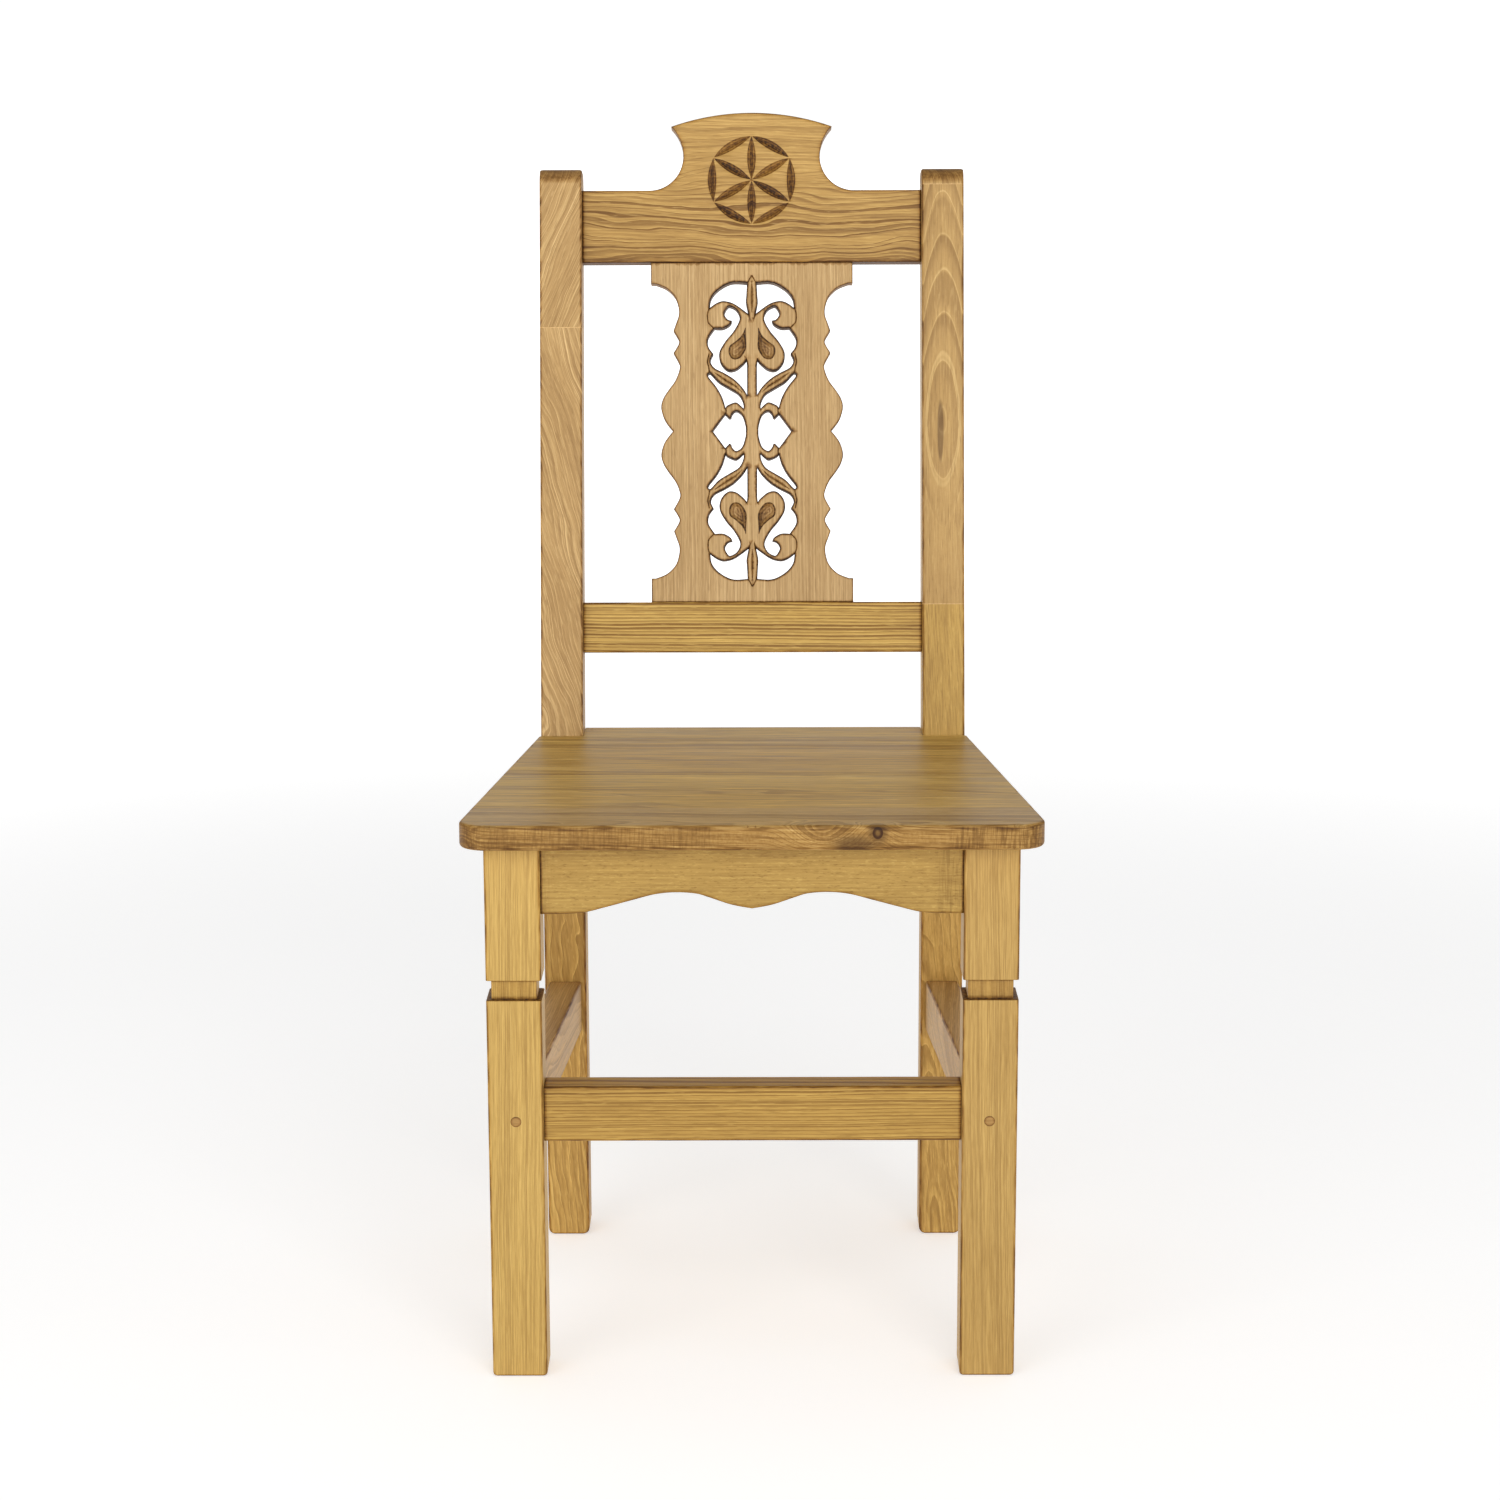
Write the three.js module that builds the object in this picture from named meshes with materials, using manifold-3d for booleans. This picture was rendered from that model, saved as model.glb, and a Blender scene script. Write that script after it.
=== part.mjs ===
import * as THREE from 'three';
import { mergeVertices } from 'three/addons/utils/BufferGeometryUtils.js';
import Module from 'manifold-3d';

// A pine side chair with a fretted back splat and a carved rosette in its crest rail.
// Lengths are millimetres and angles degrees. X runs to the right as seen from the front, Y runs back
// from the front face of the front legs and Z runs up. Left is the left side as seen from the front.

const wasm = await Module();
wasm.setup();

// Fits shared by all joints
const fit = 0.3; // gap round a tenon, a screw and a plug, and under a piece that rests on another
const glueLine = 0.2; // between two boards of the seat
const overrun = 5; // how far a cutter runs past the face that it opens
const roundSides = 20; // flats round a plug
const screwSides = 12; // flats round a screw
const curveSteps = 6; // straight steps in one arc
const stepsPerSpan = 2; // straight steps between two points of a smooth stretch
const footEase = 2; // rounding of all feet, seen from the side

// Seat: boards glued edge to edge, wider at the front, let in round the rear posts
const seatHeight = 460;
const seatThickness = 20;
const seatOverhang = 22; // in front of the front legs
const seatRearLip = 3; // behind the rear posts
const seatSideOverhang = 21; // past the front legs, at the front edge
const seatPostOverhang = 2.5; // past the rear posts, along their front faces
const seatCornerRadius = 22;
const boardJointShare = [0, 0.161, 0.322, 0.482, 0.643, 0.804, 1]; // of the depth, from the front edge

// Front legs, with a square neck cut into all four sides
const frontSpan = 420; // over both legs
const frontLegWidth = 44;
const frontLegDepth = 38;
const frontFootRadius = 3.5; // seen from the front
const neckDepth = 4;
const neckTop = 330;
const neckHeight = 16;

// Rear posts, upright below the seat and raked above it
const baseDepth = 335; // from the front faces of the front legs to those of the posts
const postSpan = 372; // over both posts
const postWidth = 37;
const postDepth = 38;
const rake = 10.8;
const postCrownRadius = 14;
const rearFootRadius = 6; // seen from the front
const postAboveCrest = 19; // above the shoulders of the crest rail

// Back rails and splat, measured up along the raked posts from the top of the seat
const railThickness = 22;
const lowerRailBottom = 73.5;
const lowerRailHeight = 44;
const splatLowerFlange = 21;
const splatUpperFlange = 18.5;
const ornamentHeight = 259.2; // between the flanges
const splatWidth = 177.4;
const splatThickness = 18;
const tongueWidth = 150;
const tongueThickness = 8;
const tongueDepth = 8;

// Crest rail and its carved head
const crestHeight = 63; // from its underside to the shoulders
const headHeight = 68; // from the shoulders to the top of the head
const coveRadius = 30;
const neckHalfWidth = 60;
const hornReach = 10.5; // of the horn tip past the neck
const hornRise = 26; // of the horn tip above the end of the cove
const rosetteRise = 9; // of the centre above the shoulders
const rosetteRadius = 38.7;
const petalCount = 6;
const petalWidth = 8;
const petalDepth = 2.2;
const petalSteps = 8;
const petalGap = 0.8; // at both ends of a petal

// Tenons of all rails
const tenonThickness = 8;
const tenonLength = 14;
const sideTenonLength = 11; // of the side aprons, which meet the other tenons inside the leg
const railTenonInset = 8; // of the tenon's edges from the rail's edges
const crestTenonInset = 12;

// Aprons under the seat
const apronHeight = 56;
const apronThickness = 22;
const apronSetback = 2; // of the front apron behind the front of the legs
const apronTenonTop = 8; // below the top edge
const apronTenonHeight = 26;
const scallopRise = 17.3;

// Stretchers
const stretcherThickness = 28;
const stretcherHeight = 45;
const frontStretcherBottom = 196.5;
const sideStretcherBottom = 191.8;

// Plugs and long screws that hold the side stretchers
const plugRadius = 4.25;
const plugDepth = 7;
const longScrew = { headRadius: 4, headHeight: 3, shankRadius: 3, length: 80, tip: 8 };

// Corner blocks under the seat and their screws
const blockHeight = 30;
const blockReach = 46; // along each apron from the leg
const blockGrip = 13; // wood under the head of a screw that goes into an apron
const blockScrewRise = 8; // of the two levels of screws from the block's bottom and top
const shortScrew = { headRadius: 4, headHeight: 2.5, shankRadius: 2, length: 28, tip: 5 };
const seatScrew = { headRadius: 4, headHeight: 2.5, shankRadius: 2, length: 40, tip: 5 };
const seatScrewSink = 1; // of the head into the block's underside
const seatScrewShare = 0.3; // place along the reach, from the leg
const crossScrewShare = 0.62;
const sideScrewShare = 0.62;

// Lower edge of the front apron, from the leg to the middle, as shares of half its length and of its rise
const scallopShare = [[0.885, 0], [0.79, 0.08], [0.694, 0.31], [0.567, 0.64], [0.459, 0.91], [0.362, 1],
  [0.266, 0.94], [0.205, 0.77], [0.115, 0.47], [0.06, 0.34], [0, 0.24]];

// Edge of the splat from the upper flange down to the middle, as shares of half the splat's width and of
// half the ornament's height. Each row is one smooth stretch, and the rows meet in corners.
const splatEdgeShare = [
  [[0.958, 1], [0.847, 0.968], [0.763, 0.91], [0.729, 0.843], [0.725, 0.786], [0.752, 0.73], [0.778, 0.68]],
  [[0.778, 0.68], [0.73, 0.624], [0.724, 0.596], [0.752, 0.558], [0.779, 0.53]],
  [[0.779, 0.53], [0.72, 0.453], [0.724, 0.406], [0.765, 0.338], [0.835, 0.272], [0.885, 0.215],
    [0.902, 0.158], [0.878, 0.092], [0.836, 0.044], [0.783, 0]],
];

// Openings of the fretwork, right upper quarter, as shares of the fret's half width and half height
const fretWidth = 78;
const fretHeight = 260;
const archOpeningShare = [
  [[0.11, 1.001], [0.449, 1.003], [0.736, 0.96], [0.91, 0.9], [0.955, 0.831]],
  [[0.955, 0.831], [0.85, 0.855], [0.736, 0.873], [0.605, 0.878], [0.39, 0.858], [0.082, 0.792]],
  [[0.082, 0.792], [0.133, 0.869], [0.126, 0.912], [0.11, 1.001]],
];
const scrollOpeningShare = [
  [[0.449, 0.746], [0.549, 0.755], [0.62, 0.792], [0.549, 0.837], [0.477, 0.842], [0.34, 0.815],
    [0.277, 0.757], [0.405, 0.678], [0.6, 0.606], [0.736, 0.531], [0.708, 0.462], [0.549, 0.411],
    [0.362, 0.415], [0.19, 0.455], [0.125, 0.48]],
  [[0.125, 0.48], [0.113, 0.45]],
  [[0.113, 0.45], [0.113, 0.245]],
  [[0.113, 0.245], [0.218, 0.294], [0.405, 0.35], [0.62, 0.391], [0.851, 0.428], [0.936, 0.475],
    [0.872, 0.523]],
  [[0.872, 0.523], [0.979, 0.569], [0.987, 0.628], [0.844, 0.695]],
  [[0.844, 0.695], [0.649, 0.695], [0.492, 0.721], [0.449, 0.746]],
];
const leafOpeningShare = [
  [[0.951, 0.392], [0.9, 0.378], [0.749, 0.331], [0.521, 0.289], [0.305, 0.248], [0.205, 0.195],
    [0.192, 0.152]],
  [[0.192, 0.152], [0.313, 0.186], [0.397, 0.193], [0.556, 0.173], [0.6, 0.157]],
  [[0.6, 0.157], [0.672, 0.227], [0.8, 0.296], [0.977, 0.364], [0.99, 0.386], [0.951, 0.392]],
];
const heartOpeningShare = [
  [[0.144, 0], [0.151, 0.04], [0.226, 0.108], [0.362, 0.135], [0.451, 0.111], [0.469, 0.092],
    [0.513, 0.085]],
  [[0.513, 0.085], [0.608, 0.114]],
  [[0.608, 0.114], [0.89, 0]],
];

// Places worked out from the sizes above
const seatFrontWidth = frontSpan + 2 * seatSideOverhang;
const seatRearWidth = postSpan + 2 * seatPostOverhang;
const seatBottom = seatHeight - seatThickness;
const frameTop = seatBottom - fit;
const frontLegX = (frontSpan - frontLegWidth) / 2;
const frontLegInner = frontSpan / 2 - frontLegWidth;
const postX = (postSpan - postWidth) / 2;
const postInner = postSpan / 2 - postWidth;
const postRear = baseDepth + postDepth;
const apronBottom = frameTop - apronHeight;
const lowerRailTop = lowerRailBottom + lowerRailHeight;
const ornamentBottom = lowerRailTop + splatLowerFlange;
const ornamentMiddle = ornamentBottom + ornamentHeight / 2;
const crestBottom = ornamentBottom + ornamentHeight + splatUpperFlange;
const crestShoulder = crestBottom + crestHeight;
const postLength = crestShoulder + postAboveCrest;
const backCentre = postDepth / 2; // middle of the posts' depth, where rails and splat are centred
const sides = [['left', -1], ['right', 1]];

// Frames in which flat outlines are drawn: seen from the front, and seen from the right side
const frontView = new THREE.Matrix4().makeBasis(
  new THREE.Vector3(1, 0, 0), new THREE.Vector3(0, 0, 1), new THREE.Vector3(0, -1, 0));
const sideView = new THREE.Matrix4().makeBasis(
  new THREE.Vector3(0, 1, 0), new THREE.Vector3(0, 0, 1), new THREE.Vector3(1, 0, 0));

// The raked frame of the back: its origin is on the posts' front faces at the top of the seat
const back = new THREE.Group();
back.position.set(0, baseDepth, seatHeight);
back.rotation.x = THREE.MathUtils.degToRad(-rake);
back.updateMatrix();

const chair = new THREE.Group();

function solid(geometry) {
  const bare = geometry.clone();
  bare.deleteAttribute('normal');
  bare.deleteAttribute('uv');
  const merged = mergeVertices(bare);
  const vertProperties = new Float32Array(merged.attributes.position.array);
  const triVerts = new Uint32Array(merged.index.array);
  return new wasm.Manifold(new wasm.Mesh({ numProp: 3, vertProperties, triVerts }));
}

function geometryOf(shape) {
  const mesh = shape.getMesh();
  const geometry = new THREE.BufferGeometry();
  geometry.setAttribute('position', new THREE.BufferAttribute(mesh.vertProperties, 3));
  geometry.setIndex(new THREE.BufferAttribute(mesh.triVerts, 1));
  geometry.computeVertexNormals();
  return geometry;
}

function joined(shapes) {
  return shapes.reduce((all, next) => all.add(next));
}

function block(x, y, z) {
  const geometry = new THREE.BoxGeometry(x[1] - x[0], y[1] - y[0], z[1] - z[0]);
  geometry.translate((x[0] + x[1]) / 2, (y[0] + y[1]) / 2, (z[0] + z[1]) / 2);
  return solid(geometry);
}

function extruded(shape, depth) {
  return new THREE.ExtrudeGeometry(shape, { depth, bevelEnabled: false, curveSegments: curveSteps });
}

// An outline seen from the front, from y = front to y = front + depth
function frontOutline(shape, front, depth) {
  return solid(extruded(shape, depth).applyMatrix4(frontView).translate(0, front + depth, 0));
}

// An outline seen from the side, from x = start to x = start + width
function sideOutline(shape, start, width) {
  return solid(extruded(shape, width).applyMatrix4(sideView).translate(start, 0, 0));
}

// An outline seen from above, from z = bottom to z = top
function planOutline(points, bottom, top) {
  const shape = new THREE.Shape(points.map(([x, y]) => new THREE.Vector2(x, y)));
  return solid(extruded(shape, top - bottom).translate(0, 0, bottom));
}

function widened(range, gap) {
  return [range[0] - gap, range[1] + gap];
}

function around(centre, width) {
  return [centre - width / 2, centre + width / 2];
}

// Smooth stretches through points given as shares, which meet in corners. Two points are a straight edge.
function stretchPoints(rows, halfWidth, halfHeight) {
  return rows.flatMap((row) => {
    const points = row.map(([x, y]) => new THREE.Vector2(x * halfWidth, y * halfHeight));
    const steps = row.length === 2 ? 1 : (row.length - 1) * stepsPerSpan;
    return new THREE.SplineCurve(points).getPoints(steps).slice(0, -1);
  });
}

function mirrored(points, x, y) {
  return points.map((point) => new THREE.Vector2(point.x * x, point.y * y));
}

function finish(color, roughness, metalness) {
  return () => new THREE.MeshStandardMaterial({ color, roughness, metalness });
}
const waxedPine = finish(0xcfa45c, 0.5, 0);
const seatPine = finish(0xae8550, 0.45, 0);
const endGrainPine = finish(0xa87a42, 0.6, 0);
const rawPine = finish(0xdcbd85, 0.7, 0);
const zincSteel = finish(0xb9bcc0, 0.35, 1);

function addPiece(group, name, shape, material) {
  const mesh = new THREE.Mesh(geometryOf(shape), material());
  mesh.name = name;
  group.add(mesh);
}

// Screws. Each has a bore: the hole for its shank and the round pocket that its head is sunk through.
const screws = [];
const bores = [];

function addScrew(name, spec, head, direction, pocketRadius, pocketLength) {
  const profile = [[0, 0], [spec.headRadius, 0], [spec.shankRadius, spec.headHeight],
    [spec.shankRadius, spec.length - spec.tip], [0, spec.length]];
  const points = profile.map(([radius, along]) => new THREE.Vector2(radius, along));
  const turn = new THREE.Quaternion().setFromUnitVectors(new THREE.Vector3(0, 1, 0), direction);
  const mesh = new THREE.Mesh(new THREE.LatheGeometry(points, screwSides), zincSteel());
  mesh.name = name;
  mesh.position.copy(head);
  mesh.quaternion.copy(turn);
  screws.push(mesh);
  const place = new THREE.Matrix4().compose(head, turn, new THREE.Vector3(1, 1, 1));
  bores.push(boreAlong(place, spec.shankRadius + fit, 0, spec.length + fit, screwSides));
  bores.push(boreAlong(place, pocketRadius, -pocketLength, spec.headHeight + fit, roundSides));
}

function boreAlong(place, radius, from, to, flats) {
  const geometry = new THREE.CylinderGeometry(radius, radius, to - from, flats);
  return solid(geometry.translate(0, (from + to) / 2, 0).applyMatrix4(place));
}

// Side rails run from the middle of the front leg to the middle of the post, so they close in to the rear
function sideRailX(y) {
  return frontLegX + (postX - frontLegX) * (y - frontLegDepth) / (baseDepth - frontLegDepth);
}

function sideBar(side, y, thickness, z) {
  const corner = (along, edge) => [side * (sideRailX(along) + edge * thickness / 2), along];
  return planOutline([corner(y[0], -1), corner(y[0], 1), corner(y[1], 1), corner(y[1], -1)], z[0], z[1]);
}

// Tenons, each one bar right through its rail and out at both ends, and the same bar made larger as mortise
const apronTenonZ = [frameTop - apronTenonTop - apronTenonHeight, frameTop - apronTenonTop];
const stretcherTenonZ = [frontStretcherBottom + railTenonInset,
  frontStretcherBottom + stretcherHeight - railTenonInset];
const frontApronY = [apronSetback, apronSetback + apronThickness];
const rearApronY = around(baseDepth + backCentre, apronThickness);
const railY = around(backCentre, railThickness);
const frontStretcherY = around(frontLegDepth / 2, stretcherThickness);

function crossTenon(inner, y, z, gap) {
  const half = inner + tenonLength + gap;
  return block([-half, half], widened(around((y[0] + y[1]) / 2, tenonThickness), gap), widened(z, gap));
}

function sideTenon(side, gap) {
  const y = [frontLegDepth - sideTenonLength - gap, baseDepth + sideTenonLength + gap];
  return sideBar(side, y, tenonThickness + 2 * gap, widened(apronTenonZ, gap));
}

const lowerRailTenonZ = [lowerRailBottom + railTenonInset, lowerRailTop - railTenonInset];
const crestTenonZ = [crestBottom + crestTenonInset, crestShoulder - crestTenonInset];

// Places of the plugs and of the screws behind them, at the middle of the side stretchers
const stretcherMiddle = sideStretcherBottom + stretcherHeight / 2;
for (const [name, side] of sides) {
  const ends = [['front', frontLegX, 0, 1], ['rear', postX, postRear, -1]];
  for (const [end, x, face, inward] of ends) {
    const head = new THREE.Vector3(side * x, face + inward * (plugDepth + fit), stretcherMiddle);
    const direction = new THREE.Vector3(0, inward, 0);
    const pocket = plugDepth + overrun;
    addScrew(`stretcher_screw_${end}_${name}`, longScrew, head, direction, plugRadius + fit, pocket);
    const plug = new THREE.CylinderGeometry(plugRadius, plugRadius, plugDepth, roundSides);
    const mesh = new THREE.Mesh(plug, endGrainPine());
    mesh.name = `plug_${end}_${name}`;
    mesh.position.set(side * x, face + inward * plugDepth / 2, stretcherMiddle);
    chair.add(mesh);
  }
}

// Corner blocks: five-sided, fitted round the inner corner of the leg and against both aprons
const blockBottom = frameTop - blockHeight;
const cornerBlocks = [];

function addCornerBlock(name, side, inner, legFace, apronFace, inward) {
  const railInner = (y) => sideRailX(y) - apronThickness / 2 - fit;
  const corner = legFace + inward * fit;
  const farY = legFace + inward * blockReach;
  const nearX = inner - blockReach;
  const apron = apronFace + inward * fit;
  const outline = [[nearX, apron], [inner - fit, apron], [inner - fit, corner], [railInner(corner), corner],
    [railInner(farY), farY]].map(([x, y]) => [side * x, y]);
  cornerBlocks.push([`corner_block_${name}`, planOutline(outline, blockBottom, frameTop)]);

  const pocket = shortScrew.headRadius + fit;
  const upperZ = frameTop - blockScrewRise;
  const lowerZ = blockBottom + blockScrewRise;
  const crossX = side * (inner - blockReach * crossScrewShare);
  const crossHead = new THREE.Vector3(crossX, apron + inward * blockGrip, upperZ);
  const alongApron = new THREE.Vector3(0, -inward, 0);
  addScrew(`block_screw_${name}_cross`, shortScrew, crossHead, alongApron, pocket, blockReach);

  const sideY = legFace + inward * blockReach * sideScrewShare;
  const sideHead = new THREE.Vector3(side * (railInner(sideY) - blockGrip), sideY, lowerZ);
  const outward = new THREE.Vector3(side, 0, 0);
  addScrew(`block_screw_${name}_side`, shortScrew, sideHead, outward, pocket, blockReach);

  const seatX = side * (inner - blockReach * seatScrewShare);
  const seatHead = new THREE.Vector3(seatX, corner, blockBottom + seatScrewSink);
  addScrew(`seat_screw_${name}`, seatScrew, seatHead, new THREE.Vector3(0, 0, 1), pocket, overrun);
}

for (const [name, side] of sides) {
  addCornerBlock(`front_${name}`, side, frontLegInner, frontLegDepth, frontApronY[1], 1);
  addCornerBlock(`rear_${name}`, side, postInner, baseDepth, rearApronY[0], -1);
}
const allBores = joined(bores);

// Front leg: the same outline seen from the front and from the side, so that the neck goes all round
function legOutline(width, round) {
  const half = width / 2;
  const neckHalf = half - neckDepth;
  const neckBottom = neckTop - neckHeight;
  const shape = new THREE.Shape();
  shape.moveTo(half - round, 0);
  shape.absarc(half - round, round, round, -Math.PI / 2, 0, false);
  shape.lineTo(half, neckBottom);
  shape.lineTo(neckHalf, neckBottom);
  shape.lineTo(neckHalf, neckTop);
  shape.lineTo(half, neckTop);
  shape.lineTo(half, frameTop);
  shape.lineTo(-half, frameTop);
  shape.lineTo(-half, neckTop);
  shape.lineTo(-neckHalf, neckTop);
  shape.lineTo(-neckHalf, neckBottom);
  shape.lineTo(-half, neckBottom);
  shape.lineTo(-half, round);
  shape.absarc(round - half, round, round, Math.PI, 1.5 * Math.PI, false);
  return shape;
}

function frontLeg(side) {
  const seenFront = frontOutline(legOutline(frontLegWidth, frontFootRadius), 0, frontLegDepth);
  const seenSide = sideOutline(legOutline(frontLegDepth, footEase), -frontLegWidth / 2, frontLegWidth);
  const body = seenFront.intersect(seenSide.translate([0, frontLegDepth / 2, 0]));
  return body.translate([side * frontLegX, 0, 0])
    .subtract(crossTenon(frontLegInner, frontApronY, apronTenonZ, fit))
    .subtract(crossTenon(frontLegInner, frontStretcherY, stretcherTenonZ, fit))
    .subtract(sideTenon(side, fit))
    .subtract(allBores);
}

// Rear post: bent outline seen from the side, with a rounded top and foot
function postProfile() {
  const angle = THREE.MathUtils.degToRad(rake);
  const round = postCrownRadius;
  const inBack = (y, z) => new THREE.Vector3(0, y, z).applyMatrix4(back.matrix);
  const frontCrown = inBack(round, postLength - round);
  const rearCrown = inBack(postDepth - round, postLength - round);
  const shape = new THREE.Shape();
  shape.moveTo(baseDepth, footEase);
  shape.lineTo(baseDepth, seatHeight);
  shape.absarc(frontCrown.y, frontCrown.z, round, Math.PI - angle, Math.PI / 2 - angle, true);
  shape.absarc(rearCrown.y, rearCrown.z, round, Math.PI / 2 - angle, -angle, true);
  shape.lineTo(postRear, seatHeight - postDepth * Math.tan(angle / 2));
  shape.lineTo(postRear, footEase);
  shape.absarc(postRear - footEase, footEase, footEase, 0, -Math.PI / 2, true);
  shape.absarc(baseDepth + footEase, footEase, footEase, -Math.PI / 2, -Math.PI, true);
  return shape;
}

function postFront(side) {
  const half = postWidth / 2;
  const foot = rearFootRadius;
  const top = seatHeight + postLength;
  const shape = new THREE.Shape();
  shape.absarc(half - foot, foot, foot, -Math.PI / 2, 0, false);
  shape.lineTo(half, top);
  shape.lineTo(-half, top);
  shape.absarc(foot - half, foot, foot, Math.PI, 1.5 * Math.PI, false);
  const depth = baseDepth + postLength;
  return frontOutline(shape, 0, depth).translate([side * postX, 0, 0]);
}

function inBackFrame(shape) {
  return solid(geometryOf(shape).applyMatrix4(back.matrix));
}

function rearPost(side) {
  return sideOutline(postProfile(), side * postX - postWidth / 2, postWidth)
    .intersect(postFront(side))
    .subtract(crossTenon(postInner, rearApronY, apronTenonZ, fit))
    .subtract(sideTenon(side, fit))
    .subtract(inBackFrame(crossTenon(postInner, railY, lowerRailTenonZ, fit)))
    .subtract(inBackFrame(crossTenon(postInner, railY, crestTenonZ, fit)))
    .subtract(allBores);
}

for (const [name, side] of sides) {
  addPiece(chair, `front_leg_${name}`, frontLeg(side), waxedPine);
  addPiece(chair, `rear_post_${name}`, rearPost(side), waxedPine);
}

// Front apron, with two shallow arches and a low point in the middle of its lower edge
function frontApron() {
  const half = frontLegInner - fit;
  const edge = scallopShare.map(([x, y]) => new THREE.Vector2(x * half, apronBottom + y * scallopRise));
  const curve = new THREE.SplineCurve(edge).getPoints((edge.length - 1) * stepsPerSpan);
  const shape = new THREE.Shape();
  shape.moveTo(-half, frameTop);
  shape.lineTo(-half, apronBottom);
  mirrored(curve, -1, 1).forEach((point) => shape.lineTo(point.x, point.y));
  curve.reverse().slice(1).forEach((point) => shape.lineTo(point.x, point.y));
  shape.lineTo(half, apronBottom);
  shape.lineTo(half, frameTop);
  return frontOutline(shape, frontApronY[0], apronThickness)
    .add(crossTenon(frontLegInner, frontApronY, apronTenonZ, 0))
    .subtract(allBores);
}

function rearApron() {
  const half = postInner - fit;
  return block([-half, half], rearApronY, [apronBottom, frameTop])
    .add(crossTenon(postInner, rearApronY, apronTenonZ, 0))
    .subtract(allBores);
}

function sideApron(side) {
  const y = [frontLegDepth + fit, baseDepth - fit];
  return sideBar(side, y, apronThickness, [apronBottom, frameTop])
    .add(sideTenon(side, 0))
    .subtract(allBores);
}

addPiece(chair, 'front_apron', frontApron(), waxedPine);
addPiece(chair, 'rear_apron', rearApron(), waxedPine);

// Stretchers: the front one is tenoned, and the side ones are held by the long screws
function frontStretcher() {
  const half = frontLegInner - fit;
  const z = [frontStretcherBottom, frontStretcherBottom + stretcherHeight];
  return block([-half, half], frontStretcherY, z)
    .add(crossTenon(frontLegInner, frontStretcherY, stretcherTenonZ, 0));
}

function sideStretcher(side) {
  const y = [frontLegDepth + fit, baseDepth - fit];
  const z = [sideStretcherBottom, sideStretcherBottom + stretcherHeight];
  return sideBar(side, y, stretcherThickness, z).subtract(allBores);
}

addPiece(chair, 'front_stretcher', frontStretcher(), waxedPine);
for (const [name, side] of sides) {
  addPiece(chair, `side_apron_${name}`, sideApron(side), waxedPine);
  addPiece(chair, `side_stretcher_${name}`, sideStretcher(side), waxedPine);
}
for (const [name, shape] of cornerBlocks) {
  addPiece(chair, name, shape.subtract(allBores), rawPine);
}
chair.add(...screws);

// Seat: one outline, cut into its boards
function seatOutline() {
  const front = -seatOverhang;
  const rear = postRear + seatRearLip;
  const shoulder = baseDepth - fit;
  const frontHalf = seatFrontWidth / 2;
  const rearHalf = seatRearWidth / 2;
  const tab = postInner - fit; // between the posts
  const lean = Math.atan2(frontHalf - rearHalf, shoulder - front);
  const round = seatCornerRadius;
  const setIn = round * Math.tan(Math.PI / 4 + lean / 2); // from the corner to where its arc starts
  const shape = new THREE.Shape();
  shape.moveTo(0, front);
  shape.absarc(frontHalf - setIn, front + round, round, -Math.PI / 2, lean, false);
  shape.lineTo(rearHalf, shoulder);
  shape.lineTo(tab, shoulder);
  shape.lineTo(tab, rear);
  shape.lineTo(-tab, rear);
  shape.lineTo(-tab, shoulder);
  shape.lineTo(-rearHalf, shoulder);
  shape.absarc(setIn - frontHalf, front + round, round, Math.PI - lean, 1.5 * Math.PI, false);
  return shape;
}

function seatBoards() {
  const seat = solid(extruded(seatOutline(), seatThickness).translate(0, 0, seatBottom)).subtract(allBores);
  const front = -seatOverhang;
  const depth = postRear + seatRearLip - front;
  const wide = [-seatFrontWidth, seatFrontWidth];
  const high = [seatBottom - overrun, seatHeight + overrun];
  const last = boardJointShare.length - 2;
  boardJointShare.slice(0, -1).forEach((share, index) => {
    const start = front + share * depth + (index === 0 ? -overrun : glueLine / 2);
    const end = front + boardJointShare[index + 1] * depth + (index === last ? overrun : -glueLine / 2);
    addPiece(chair, `seat_board_${index + 1}`, seat.intersect(block(wide, [start, end], high)), seatPine);
  });
}
seatBoards();

// Lower back rail and crest rail, in the raked frame, grooved for the tongues of the splat
const splatY = around(backCentre, splatThickness);

function tongue(z, gap) {
  return block(widened(around(0, tongueWidth), gap), widened(around(backCentre, tongueThickness), gap), z);
}

function lowerBackRail() {
  const half = postInner - fit;
  const groove = [lowerRailTop - tongueDepth - fit, lowerRailTop + overrun];
  return block([-half, half], railY, [lowerRailBottom, lowerRailTop])
    .add(crossTenon(postInner, railY, lowerRailTenonZ, 0))
    .subtract(tongue(groove, fit));
}

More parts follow.
